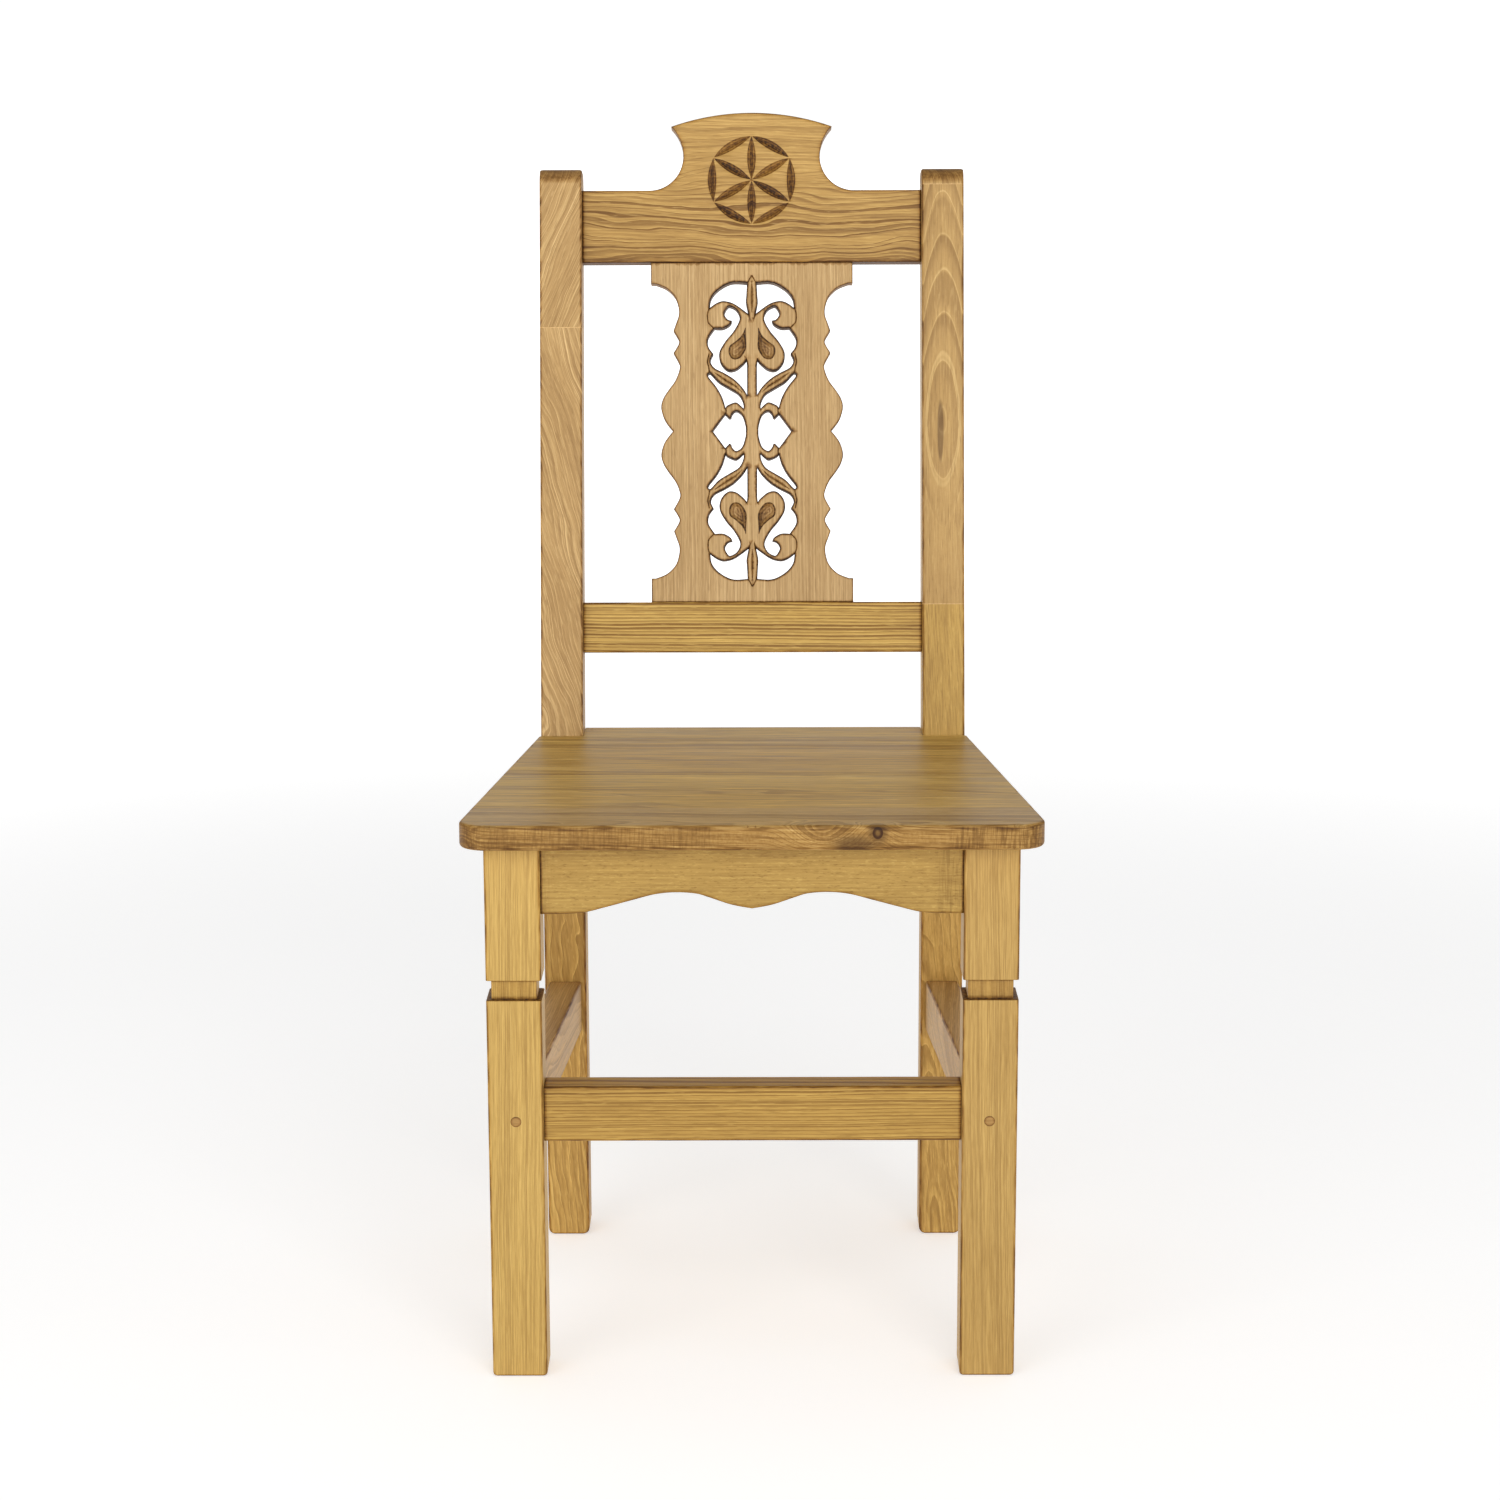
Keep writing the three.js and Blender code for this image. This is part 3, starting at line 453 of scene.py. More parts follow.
def rounded_ring(half_a, half_b, radius):
    """Points of a rounded rectangle, and how much of an edge each point is."""
    corner = arc((0, 0), radius, 0, 90, CORNER_STEPS)
    corner = np.concatenate([[(radius, -RIM_WIDTH)], corner, [(-RIM_WIDTH, radius)]])
    corner = corner + (half_a - radius, half_b - radius)
    marks = [0, 0.5] + [1] * (CORNER_STEPS - 1) + [0.5, 0]
    return np.concatenate([corner, mirrored(corner), -corner, flipped(corner)]), np.array(4 * marks)


def tube_faces(size, count):
    """Faces of a tube through a count of rings with size points each, and its two ends last."""
    faces = []
    for first in range(0, (count - 1) * size, size):
        for point in range(size):
            after = (point + 1) % size
            faces.append((first + point, first + after, first + size + after, first + size + point))
    last = (count - 1) * size
    return faces + [range(size)[::-1], range(last, last + size)]


def add_loft(node, stations, materials, belts=None):
    """A bar through rounded rectangles. A station is a centre, two half axes as vectors, a corner radius
    and a share of wax, which on the legs' necks is partly painted shade. Belts gives the material's number
    for each stretch between two stations."""
    vertices, edge, wax = [], [], []
    for centre, axis_a, axis_b, radius, share in stations:
        half_a, half_b = np.linalg.norm(axis_a), np.linalg.norm(axis_b)
        ring, marks = rounded_ring(half_a, half_b, radius)
        vertices.extend(centre + ring[:, :1] * axis_a / half_a + ring[:, 1:] * axis_b / half_b)
        edge.extend(marks)
        wax.extend([share] * len(ring))
    belts = belts or [0] * (len(stations) - 1)
    numbers = [*np.repeat(belts, len(ring)), belts[0], belts[-1]]
    faces = tube_faces(len(ring), len(stations))
    add_piece(node, vertices, faces, {"edge": edge, "wax": wax}, materials, numbers=numbers)


def worn_radius(radius, place, seed):
    """A corner radius that changes a little along a bar, as sanding leaves it."""
    return radius * (1 + WEAR * noise.noise(Vector((place / WEAR_LENGTH, seed, 0))))


def stations_between(start, stop):
    """Places along a bar, closer together at its ends, each with its distance from the nearer end."""
    count = max(2, round((stop - start) / BAR_STEP))
    middle = list(np.linspace(start + END_RINGS[-1], stop - END_RINGS[-1], count))[1:-1]
    places = [start + gap for gap in END_RINGS] + middle + [stop - gap for gap in reversed(END_RINGS)]
    return [(place, min(place - start, stop - place)) for place in places]


def add_bar(node, start, stop, half_a, half_b, place, material, radius=BAR_RADIUS):
    """A straight bar along the X axis of the frame that place gives."""
    axes = np.array(place)[:3, :3]
    seed = sum(map(ord, f"{node}_wood")) * LETTER_SEED
    stations = []
    for along, to_end in stations_between(start, stop):
        centre = transformed(place, [(along, 0, 0)])[0]
        inset = rounding_drop(to_end, END_EASE)
        wax = END_WAX * max(0, 1 - to_end / END_WAX_REACH)
        stations.append((centre, axes[:, 1] * (half_a - inset), axes[:, 2] * (half_b - inset),
                         worn_radius(radius, along, seed), wax))
    add_loft(node, stations, [material])


def add_rail(node, reach, material, *, radius=BAR_RADIUS, place=Matrix.Identity(4)):
    """A straight bar in place of a CAD node, which ends at the wood that its tenons go into."""
    low, high = extent(node, place)
    centre, half = (low + high) / 2, (high - low) / 2
    reach = reach - JOINT_GAP
    place = place @ Matrix.Translation((0, centre[1], centre[2]))
    add_bar(node, -reach, reach, half[1], half[2], place, material, radius)


# Materials
def srgb(code):
    """Linear colour of a colour written as a hexadecimal number."""
    parts = [(code >> shift & 255) / 255 for shift in (16, 8, 0)]
    return [part / 12.92 if part <= 0.04045 else ((part + 0.055) / 1.055) ** 2.4 for part in parts] + [1]


class Value:
    """A number or colour inside a material, which can be reckoned with like an ordinary number."""

    def __init__(self, nodes, socket):
        self.nodes, self.socket = nodes, socket

    def __add__(self, other):
        return self.nodes.math("ADD", self, other)

    def __sub__(self, other):
        return self.nodes.math("SUBTRACT", self, other)

    def __mul__(self, other):
        return self.nodes.math("MULTIPLY", self, other)

    def __truediv__(self, other):
        return self.nodes.math("DIVIDE", self, other)

    def __pow__(self, other):
        return self.nodes.math("POWER", self, other)

    def __abs__(self):
        return self.nodes.math("ABSOLUTE", self)


class Nodes:
    """Short ways to add shader nodes to a material or to the surroundings."""

    def __init__(self, owner):
        owner.use_nodes = True
        self.tree = owner.node_tree
        self.tree.nodes.clear()

    def add(self, kind, inputs=(), output=0, **settings):
        """Adds a node with its inputs given by number or name, and gives one of its outputs."""
        node = self.tree.nodes.new("ShaderNode" + kind)
        for name, value in settings.items():
            setattr(node, name, value)
        for key, value in dict(inputs).items():
            if isinstance(value, Value):
                self.tree.links.new(value.socket, node.inputs[key])
            else:
                node.inputs[key].default_value = value
        return Value(self, node.outputs[output]) if len(node.outputs) else None

    def math(self, operation, *values):
        return self.add("Math", enumerate(values), operation=operation)

    def vector(self, operation, *values, output="Vector"):
        return self.add("VectorMath", enumerate(values), output, operation=operation)

    def length(self, vector):
        return self.vector("LENGTH", vector, output="Value")

    def dot(self, first, second):
        return self.vector("DOT_PRODUCT", first, second, output="Value")

    def most(self, first, *others):
        for other in others:
            first = self.math("MAXIMUM", first, other)
        return first

    def step(self, value, low, high, to_low=0.0, to_high=1.0):
        """A soft step from one value to another between low and high."""
        inputs = enumerate((value, low, high, to_low, to_high))
        return self.add("MapRange", inputs, interpolation_type="SMOOTHSTEP")

    def noise(self, place, along, across, detail=2.0, roughness=0.5, coarse=1.0):
        """Noise that changes at these rates in a millimetre along the grain and across it."""
        scaled = self.vector("MULTIPLY", place, (along / coarse, across / coarse, across / coarse))
        inputs = {"Vector": scaled, "Scale": 1.0, "Detail": detail, "Roughness": roughness}
        return self.add("TexNoise", inputs)

    def mix(self, share, first, second, blend="MIX"):
        return self.add("Mix", {0: share, 6: first, 7: second}, 2, data_type="RGBA", blend_type=blend)

    def mark(self, name):
        """A value that the mesh carries at its vertices."""
        return self.add("Attribute", output="Fac", attribute_name=name)

    def parts(self, vector):
        return [self.add("SeparateXYZ", {0: vector}, axis) for axis in range(3)]

    def place(self):
        """Where a point is in its object, in millimetres."""
        return self.vector("MULTIPLY", self.add("TexCoord", output="Object"), (1 / MM,) * 3)

    def surface(self, inputs):
        self.add("OutputMaterial", {"Surface": self.add("BsdfPrincipled", inputs)})


UPRIGHT = Matrix(((0, 0, 1), (1, 0, 0), (0, 1, 0)))  # grain along Z, across X and deep Y
LEVEL = Matrix(((1, 0, 0), (0, 0, 1), (0, -1, 0)))  # grain along X, across Z and deep -Y
LYING = Matrix(((1, 0, 0), (0, 1, 0), (0, 0, 1)))  # grain along X, across Y and deep Z
ALONG_SIDE = Matrix(((0, 1, 0), (0, 0, 1), (1, 0, 0)))  # grain along Y, across Z and deep X

PALE_SHARE = (1.36, 1.5, 1.75)  # of the wood's own colour, as are the next two
DARK_SHARE = (0.42, 0.33, 0.22)
KNOT_SHARE = (0.2, 0.14, 0.1)
SHADE_POWERS = (0.9, 1.1, 1.5)  # darker wood is also warmer
# The wax colour also serves as painted shade on the walls of openings, under the crest, in the legs' necks
# and on one side of the drops.
WAX_AND_SHADE_COLOUR = srgb(0x34200D)
WAX_DEPTH = 0.9  # how much the wax deepens the wood's own colour
WAX_POWER = 1.8  # a little wax hardly covers the wood
END_GRAIN_WAX = 0.5
EDGE_POWER = 1.5  # draws the wax of an edge together
ROUGHENING = 0.12  # by wax and between fine streaks
BUMP_STRENGTH = 0.4
BUMP_DEPTH = 0.12

# Noises in the wood: rates along and across the grain, detail and roughness
THREADS = (0.016, 0.5, 4.0, 0.72)  # the fine streaks
CLOUDS = (1 / 120, 1 / 40, 3.0)
QUICK_WAVES = (1 / 34, 1 / 9)
SAW_MARKS = (0.75, 0.05)
STREAKY_WAX = (0.5, 0.3, 3.0)
MOTTLED_WAX = (0.05, 0.35, 3.0)
SLOW_WAVE_RATE = 1 / 38  # across the grain, as is the next one
PORE_RATE = 0.85
YEAR_RATE = 0.22  # with each ring

# Values between which soft steps change, some with the values that they give
THREAD_RANGE = (0.32, 0.68)
DARK_PORES = (0.6, 0.72)
PALE_PORES = (0.3, 0.4)
SAW_RANGE = (0.42, 0.62)
EDGE_MOTTLE = (0.3, 0.7, 0.2, 1.0)
CUT_MOTTLE = (0.3, 0.7, 0.78, 1.2)
END_MOTTLE = (0.25, 0.75, 0.75, 1.2)
END_GRAIN = (0.12, 0.6)  # of how far a face looks along the grain
FINE_GRAIN = (0.3, 0.8, 1.0, 0.25)  # the same for streaks and pores, which are weak on end grain
UPRIGHT_FACE = (0.3, 0.8, 1.0, 0.0)  # of how far a face looks up or down
DARK_PART_FULL = 0.8  # share of a ring where its dark part is darkest
DARK_PART_STOP = (0.93, 1.0)
KNOT_PITH = (0.2, 0.7, 0.55, 1.0)  # of a ringed knot's radius
KNOT_HALO = 2.6  # radii, as is the next one
KNOT_REACH = 5  # of the bent rings

QUICK_WAVE_SHARE = 0.25  # of the slow wave's half
OVAL_END = 50.0  # rounds the ends of the ovals
YEAR_CHANGE = 0.55  # share of a ring's strength that differs from year to year
SAW_MARKS_END = 14  # length over which a hatched stretch runs out

LEG_COLOUR = 0xBF9A50
LEG_COLOURS = {"left": 0xC39E56, "right": 0xB99452}
REAR_LEG_COLOUR = 0xC49B52
POST_COLOUR = 0xBA965D
LEFT_POST_COLOUR = 0xC09C66
LOW_POST_COLOUR = 0xC09B54
CREST_COLOUR = 0xB28B4B
SPLAT_COLOUR = 0xBC9966
LOWER_RAIL_COLOUR = 0xC8A153
SEAT_COLOURS = (0xC49E52, 0xBB944B, 0xC0994F)
SEAT_FRONT_COLOUR = 0xB9955A
APRON_COLOUR = 0xA98643
STRETCHER_COLOUR = 0xB18A42
SIDE_COLOUR = 0xC09A60
PLUG_COLOUR = 0xA27A42
GLUE_COLOUR = 0xDAB57C


@dataclass
class Knot:
    """A knot or flaw in the wood."""
    point: tuple
    size: float  # its radius
    length: float = 1.6  # how far it draws out along the grain
    flow: float = 0.0  # how far it pushes the rings away
    shade: float = 0.9  # how dark it is
    ringed: bool = False  # paler inside
    soft: float = 1.15  # ratio over which its edge runs out


@dataclass
class Pine:
    """Waxed pine, with growth rings round a pith line that runs along the grain."""
    name: str
    grain: Matrix  # one of the four frames above
    centre: tuple  # a point on the wood
    pith: tuple  # where the pith line is from there, across and deep
    ring: float  # width of a ring
    colour: int = LEG_COLOUR
    tilt: tuple = (0.0, 0.0)  # leans the pith line in two directions
    wave: float = 2.0  # how far the rings stray
    wave_length: float = 140.0
    uneven: float = 2.4  # how much the rings differ in width
    lines: float = 0.5  # strength of a ring's dark part
    band: float = 0.35  # share of a ring where the dark part starts
    streaks: float = 0.3  # strength of a ring's pale part
    light: float = 0.22  # share of a ring where the pale part stops
    cone: float = 0.0  # widens the rings both ways from the centre, which draws long closed ovals
    skew: float = 0.0  # makes the ovals longer on one side
    calm: tuple = None  # fades the rings: 0 along or 1 across, start, stop, and the strength at both
    fibre: float = 0.32  # strength of the fine streaks
    flecks: float = 0.3  # strength of the pores
    fleck_rate: float = 0.07  # a high rate shortens the pores
    coarse: float = 1.0  # scale of the fine streaks and of the pores
    cloudy: float = 0.45  # strength of broad patches
    fade: float = 0.0  # how much brighter the wood gets with each millimetre across
    knots: tuple = ()
    hatch: tuple = ()  # stretches with saw marks on the board's edges, and their strengths
    edge_wax: float = 0.75
    roughness: float = 0.46
    shine: float = 0.28

    def material(self):
        material = bpy.data.materials.new(self.name)
        nodes = self.nodes = Nodes(material)
        self.body, self.pale, self.dark, self.heart = (
            [part * share for part, share in zip(srgb(self.colour), shares)] + [1]
            for shares in ((1, 1, 1), PALE_SHARE, DARK_SHARE, KNOT_SHARE))
        self.find_place()
        radius, knot = self.round_knots(self.ring_radius())
        early, late = self.rings(radius)
        threads = nodes.step(nodes.noise(self.spot, *THREADS, coarse=self.coarse), *THREAD_RANGE)
        colour = self.saw_marks(self.wood(early, late, threads))
        if self.knots:
            colour = nodes.mix(knot, colour, self.heart)
        # Wax, with the painted shade that its mark carries
        wax = self.wax()
        deep = nodes.add("Gamma", {"Color": colour, "Gamma": wax * WAX_DEPTH + 1.0})
        bump = nodes.add("Bump", {"Strength": BUMP_STRENGTH, "Distance": BUMP_DEPTH * MM,
                                  "Height": late * 0.5 + threads * 0.5})
        nodes.surface({"Base Color": nodes.mix(wax ** WAX_POWER, deep, WAX_AND_SHADE_COLOUR),
                       "Roughness": (threads - 0.5 + wax) * ROUGHENING + self.roughness,
                       "Specular IOR Level": self.shine, "Normal": bump})
        return material

    def find_place(self):
        """Finds where a point is along the grain, and across and deep from the pith line."""
        nodes = self.nodes
        lean = Euler((0, *map(math.radians, self.tilt))).to_matrix()
        self.turn = lean @ self.grain
        self.shift = -(self.turn @ Vector(self.centre)) - Vector((0, *self.pith))
        inputs = {"Vector": nodes.add("TexCoord", output="Object"), "Location": self.shift,
                  "Rotation": self.turn.to_euler(), "Scale": (1 / MM,) * 3}
        self.spot = nodes.add("Mapping", inputs, vector_type="POINT")
        self.along, self.across, self.deep = nodes.parts(self.spot)
        self.normal = nodes.add("NewGeometry", output="Normal")
        self.into_grain = abs(nodes.dot(self.normal, self.turn.transposed() @ Vector((1, 0, 0))))

    def ring_radius(self):
        """Distance from the pith line, with the taper of the stem and the waves of the rings."""
        nodes = self.nodes
        radius = nodes.length(nodes.add("CombineXYZ", {1: self.across, 2: self.deep}))
        if self.cone:
            reach = nodes.math("SQRT", self.along * self.along + OVAL_END ** 2)
            radius = (self.along * self.skew + reach) * self.cone + radius
        slow = nodes.noise(self.spot, 1 / self.wave_length, SLOW_WAVE_RATE, 1.5)
        quick = nodes.noise(self.spot, *QUICK_WAVES)
        return slow * (2 * self.wave) + radius + quick * (QUICK_WAVE_SHARE * self.wave)

    def round_knots(self, radius):
        """The radius with the rings bent round the knots, and how far a point is inside a knot."""
        nodes = self.nodes
        knot = 0.0
        for flaw in self.knots:
            away = nodes.vector("SUBTRACT", self.spot, self.turn @ Vector(flaw.point) + self.shift)
            away = nodes.length(nodes.vector("MULTIPLY", away, (1 / flaw.length, 1, 1)))
            if flaw.flow:
                radius = nodes.step(away, 0.0, flaw.size * KNOT_REACH, 1.0, 0.0) * flaw.flow + radius
            core = nodes.step(away, flaw.size / flaw.soft, flaw.size * flaw.soft, flaw.shade, 0.0)
            if flaw.ringed:
                halo = nodes.step(away, flaw.size, flaw.size * KNOT_HALO, flaw.shade / 2, 0.0)
                core = nodes.most(core * nodes.step(away / flaw.size, *KNOT_PITH), halo)
            knot = nodes.most(core, knot)
        return radius, knot

    def rings(self, radius):
        """Strengths of the pale and of the dark part of the rings."""
        nodes = self.nodes
        phase = radius / self.ring
        phase = nodes.add("TexNoise", {"W": phase * YEAR_RATE}, noise_dimensions="1D") * self.uneven + phase
        part, year = nodes.math("FRACT", phase), nodes.math("FLOOR", phase)
        year = nodes.add("TexWhiteNoise", {"W": year}, noise_dimensions="1D")
        strength = year * YEAR_CHANGE + (1 - YEAR_CHANGE)
        if self.calm:
            direction, *change = self.calm
            strength = strength * nodes.step((self.along, self.across)[direction], *change)
        late = nodes.step(part, self.band, DARK_PART_FULL) * nodes.step(part, *DARK_PART_STOP, 1.0, 0.0)
        early = nodes.step(part, self.light / 8, self.light, 1.0, 0.0)
        return early * strength, late * strength

    def wood(self, early, late, threads):
        """Colour of the bare wood."""
        nodes = self.nodes
        long_grain = nodes.step(self.into_grain, *FINE_GRAIN)
        pores = nodes.noise(self.spot, self.fleck_rate, PORE_RATE, 1.0, coarse=self.coarse)
        flecks = long_grain * self.flecks
        colour = nodes.mix(early * self.streaks, self.body, self.pale)
        colour = nodes.mix(late * self.lines, colour, self.dark)
        colour = nodes.mix(nodes.step(pores, *DARK_PORES, 0.0, flecks), colour, self.dark)
        colour = nodes.mix(nodes.step(pores, *PALE_PORES, flecks, 0.0), colour, self.pale)
        level = (threads - 0.5) * (long_grain * self.fibre) + 1.0
        level = (nodes.noise(self.spot, *CLOUDS) - 0.5) * self.cloudy + level
        if self.fade:
            level = (self.across + self.pith[0]) * self.fade + level
        shading = nodes.add("CombineColor", enumerate(level ** power for power in SHADE_POWERS))
        return nodes.mix(1.0, colour, shading, "MULTIPLY")

    def saw_marks(self, colour):
        """The colour with saw marks in the hatched stretches of the upright faces."""
        nodes = self.nodes
        for start, stop, amount in self.hatch:
            marks = nodes.step(nodes.noise(self.spot, *SAW_MARKS), *SAW_RANGE, 0.0, amount)
            place = self.along + self.turn[0][0] * self.centre[0]
            reach = nodes.step(place, start, start + SAW_MARKS_END)
            reach = reach * nodes.step(place, stop - SAW_MARKS_END, stop, 1.0, 0.0)
            upright = nodes.step(abs(nodes.dot(self.normal, (0.0, 0.0, 1.0))), *UPRIGHT_FACE)
            colour = nodes.mix(reach * marks * upright, colour, self.dark)
        return colour

    def wax(self):
        """How much wax and painted shade lies on a point: wax in the joints and the carving, along the edges
        and on end grain, and painted shade on the walls of openings, under the crest, in the legs' necks and
        on one side of the gouged drops.
        """
        nodes = self.nodes
        streaky = nodes.noise(self.spot, *STREAKY_WAX)
        mottle = nodes.step(nodes.noise(self.spot, *MOTTLED_WAX), *EDGE_MOTTLE)
        edge = nodes.mark("edge") ** EDGE_POWER * mottle * self.edge_wax
        cuts = nodes.mark("wax") * nodes.step(streaky, *CUT_MOTTLE)
        ends = nodes.step(self.into_grain, *END_GRAIN, 0.0, END_GRAIN_WAX) * nodes.step(streaky, *END_MOTTLE)
        return nodes.math("MINIMUM", nodes.most(edge, cuts, ends), 1.0)


def pine(*needed, **features):
    return Pine(*needed, **features).material()


# Back: splat
def fret_outlines():
    half = FRET_WIDTH / 2, FRET_HEIGHT / 2
    openings = []
    heart = stretches(HEART_OPENING_SHARE, *half)
    tip = np.array([HEART_OPENING_SHARE[-1][-1]]) * half
    whole = np.concatenate([heart, tip, flipped(heart[1:])])
    for x in (-1, 1):
        openings.append(whole * (x, 1))
        for y in (-1, 1):
            for rows in (ARCH_OPENING_SHARE, SCROLL_OPENING_SHARE, LEAF_OPENING_SHARE):
                openings.append(stretches(rows, *half) * (x, y))
    return openings


def splat_outline(top, bottom):
    half = (splat_high[0] - splat_low[0]) / 2
    tall = ORNAMENT_HEIGHT / 2
    upper = stretches(SPLAT_EDGE_SHARE, half, tall)
    middle = np.array([[SPLAT_EDGE_SHARE[-1][-1][0] * half, 0]])
    right = np.concatenate([[(half, top), (half, tall)], upper, middle, flipped(upper),
                            [(half, -tall), (half, bottom)]])
    return np.concatenate([right, mirrored(right)])


GOUGE_RIM = 0.55
GOUGE_STROKE = 2.4  # width of one stroke of the tool
GOUGE_SWAY = 0.22  # share of a stroke that it strays
GOUGE_SWAYS = 3  # times that it strays on the way round the outline
GOUGE_STREAKS_AND_SHADE = 0.4  # how much the wax differs from stroke to stroke, and the painted shade from one side to the other
GOUGE_RIM_FILL = 2.2  # rims inside the outline over which its line of wax runs out
GOUGE_GRID = 0.9  # between the points of the mesh inside the outline
CUT_FILL = 2.2  # how quickly the wax in a V cut gets full from its rims inwards
CUT_SWELL = 0.7  # a low power makes a pointed cut full in the middle


class Cut:
    """Something carved into a board's face. Lines gives the lines that the mesh follows, each with whether
    it is closed, grid gives more points of the mesh, and cut gives the depth and the wax at some points."""

    def grid(self):
        return np.empty((0, 2))


class Groove(Cut):
    """A V cut along a line, pointed at its ends if tapered."""

    def __init__(self, line, half_width, depth, tapered=True, wax=0.9):
        self.line = np.concatenate([smooth(line), [line[-1]]])
        self.half_width, self.depth, self.tapered, self.wax = half_width, depth, tapered, wax

    def swell(self, share):
        return np.sin(np.pi * np.clip(share, 0, 1)) ** CUT_SWELL if self.tapered else np.ones_like(share)

    def lines(self):
        """The bottom and both rims."""
        across = left_of(np.gradient(self.line, axis=0))
        width = self.half_width * self.swell(np.linspace(0, 1, len(self.line)))[:, None]
        inner = slice(1, -1) if self.tapered else slice(None)
        rims = [(self.line + across * width * side)[inner] for side in (-1, 1)]
        return [(self.line, False)] + [(rim, False) for rim in rims]

    def cut(self, points):
        gap, share = nearest(points, self.line, False)
        swell = self.swell(share)
        fall = np.clip(1 - gap / np.maximum(self.half_width * swell, TINY), 0, 1)
        return self.depth * swell * fall, self.wax * np.clip(fall * CUT_FILL, 0, 1)


class Gouge(Cut):
    """A hollow with a round bottom inside an outline, which the rim of the mesh follows on both sides."""

    def __init__(self, outline, reach, depth, wax):
        self.outline, self.reach, self.depth, self.wax = turning(outline, 1), reach, depth, wax
        self.middle = np.abs(outline[:, 0]).mean()

    def shifted(self, distance):
        """The outline, moved outwards by a distance."""
        return self.outline - distance * left_of(np.roll(self.outline, -1, 0) - np.roll(self.outline, 1, 0))

    def lines(self):
        return [(self.outline, True), (self.shifted(GOUGE_RIM), True)]

    def grid(self):
        grid = grid_inside([self.outline], GOUGE_GRID)
        return grid[nearest(grid, self.outline, True)[0] > GOUGE_GRID / 2]

    def cut(self, points):
        gap, passed = nearest(points, self.outline, True)
        within = inside(points, [self.outline])
        depth = self.depth * np.sin(np.pi / 2 * np.clip(gap / self.reach, 0, 1)) * within
        rim = np.clip(np.where(within, GOUGE_RIM_FILL, 1) - gap / GOUGE_RIM, 0, 1)
        # Painted shade: each hollow gets darker towards the splat's middle line.
        painted_shade_side = np.clip((self.middle - np.abs(points[:, 0])) / self.reach, -1, 1)
        sway = GOUGE_SWAY * np.sin(2 * np.pi * GOUGE_SWAYS * passed)
        strokes = np.sin(2 * np.pi * (gap / GOUGE_STROKE + sway))
        return depth, np.maximum(rim, self.wax * (1 + GOUGE_STREAKS_AND_SHADE * (strokes + painted_shade_side)) * within)


def splat_cuts():
    half = np.array((FRET_WIDTH / 2, FRET_HEIGHT / 2))
    drop = np.array(DROP_SHARE) * half
    drop = smooth(np.concatenate([drop, drop[:1]]))
    cuts = []
    for y in (-1, 1):
        cuts.append(Groove(SPEAR_SHARE * half * (1, y), half_width=2.0, depth=1.6, wax=0.8))
        for x in (-1, 1):
            cuts.append(Gouge(drop * (x, y), reach=4.2, depth=2.8, wax=0.55))
            cuts.append(Groove(VEIN_SHARE * half * (x, y), half_width=1.8, depth=1.5, wax=0.85))
            cuts += [Groove(seam * half * (x, y), half_width=0.95, depth=0.9, wax=1.0, tapered=False)
                     for seam in SEAM_SHARES]
    return cuts


def add_splat():
    middle = ORNAMENT_BOTTOM + ORNAMENT_HEIGHT / 2
    outline = splat_outline(crest_low[2] - middle - JOINT_GAP, rail_high[2] - middle + JOINT_GAP)
    place = back @ Matrix.Translation((0, splat_low[1], middle)) @ FACING
    wood = pine("splat_pine", UPRIGHT, on_back(0, splat_low[1], middle), (-330, 60), 3.1, wave=2.2,
                tilt=(RAKE, 0.6), lines=0.28, streaks=0.5, light=0.3, colour=SPLAT_COLOUR, edge_wax=0.35)
    add_board("back_splat", [outline, *fret_outlines()], splat_high[1] - splat_low[1], place, wood,
              radius=0.7, cuts=splat_cuts(), spacing=5, rim_wax=1.1, wall_wax_and_shade=0.45)


# Back: crest rail with its rosette
COVE_RADIUS = 30
NECK_HALF_WIDTH = 60
HORN_REACH = 10.5
HORN_RISE = 26
HEAD_HEIGHT = 68
CREST_HEIGHT = 63
COVE_STEPS = 34
HORN_STEPS = 20
TOP_STEPS = 40
ROSETTE_RISE = 9
ROSETTE_RADIUS = 38.7
PETAL_COUNT = 6
PETAL_WIDTH = 8
PETAL_DEPTH = 2.2
PETAL_GAP = 0.5
PETAL_LINES = (1, 0.84, 0.52, 0.22)  # rows of the mesh from a petal's rim to its middle
PETAL_STROKES = (0, 1.25, 0.72, 1.2, 0.9)  # wax at the rows and in the middle, as the tool's strokes leave it
PETAL_WAX = 0.74
PETAL_GRAIN = 0.17  # less wax in petals that rise to the right, more in those that fall


def crest_outline(half, bottom):
    shoulder = bottom + CREST_HEIGHT
    neck = shoulder + COVE_RADIUS
    cove = NECK_HALF_WIDTH + COVE_RADIUS
    horn_radius = (HORN_REACH ** 2 + HORN_RISE ** 2) / (2 * HORN_REACH)
    horn_angle = math.degrees(math.asin(HORN_RISE / horn_radius))
    tip = NECK_HALF_WIDTH + HORN_REACH
    rise = HEAD_HEIGHT - COVE_RADIUS - HORN_RISE
    top_radius = (tip ** 2 + rise ** 2) / (2 * rise)
    top_angle = math.degrees(math.asin(tip / top_radius))
    right = np.concatenate([
        [(half, bottom), (half, shoulder)],
        arc((cove, neck), COVE_RADIUS, 270, 180, COVE_STEPS),
        arc((NECK_HALF_WIDTH + horn_radius, neck), horn_radius, 180, 180 - horn_angle, HORN_STEPS)[1:],
        arc((0, shoulder + HEAD_HEIGHT - top_radius), top_radius, 90 - top_angle, 90, TOP_STEPS)[1:-1],
    ])
    return np.concatenate([right, [(0, shoulder + HEAD_HEIGHT)], mirrored(right)])


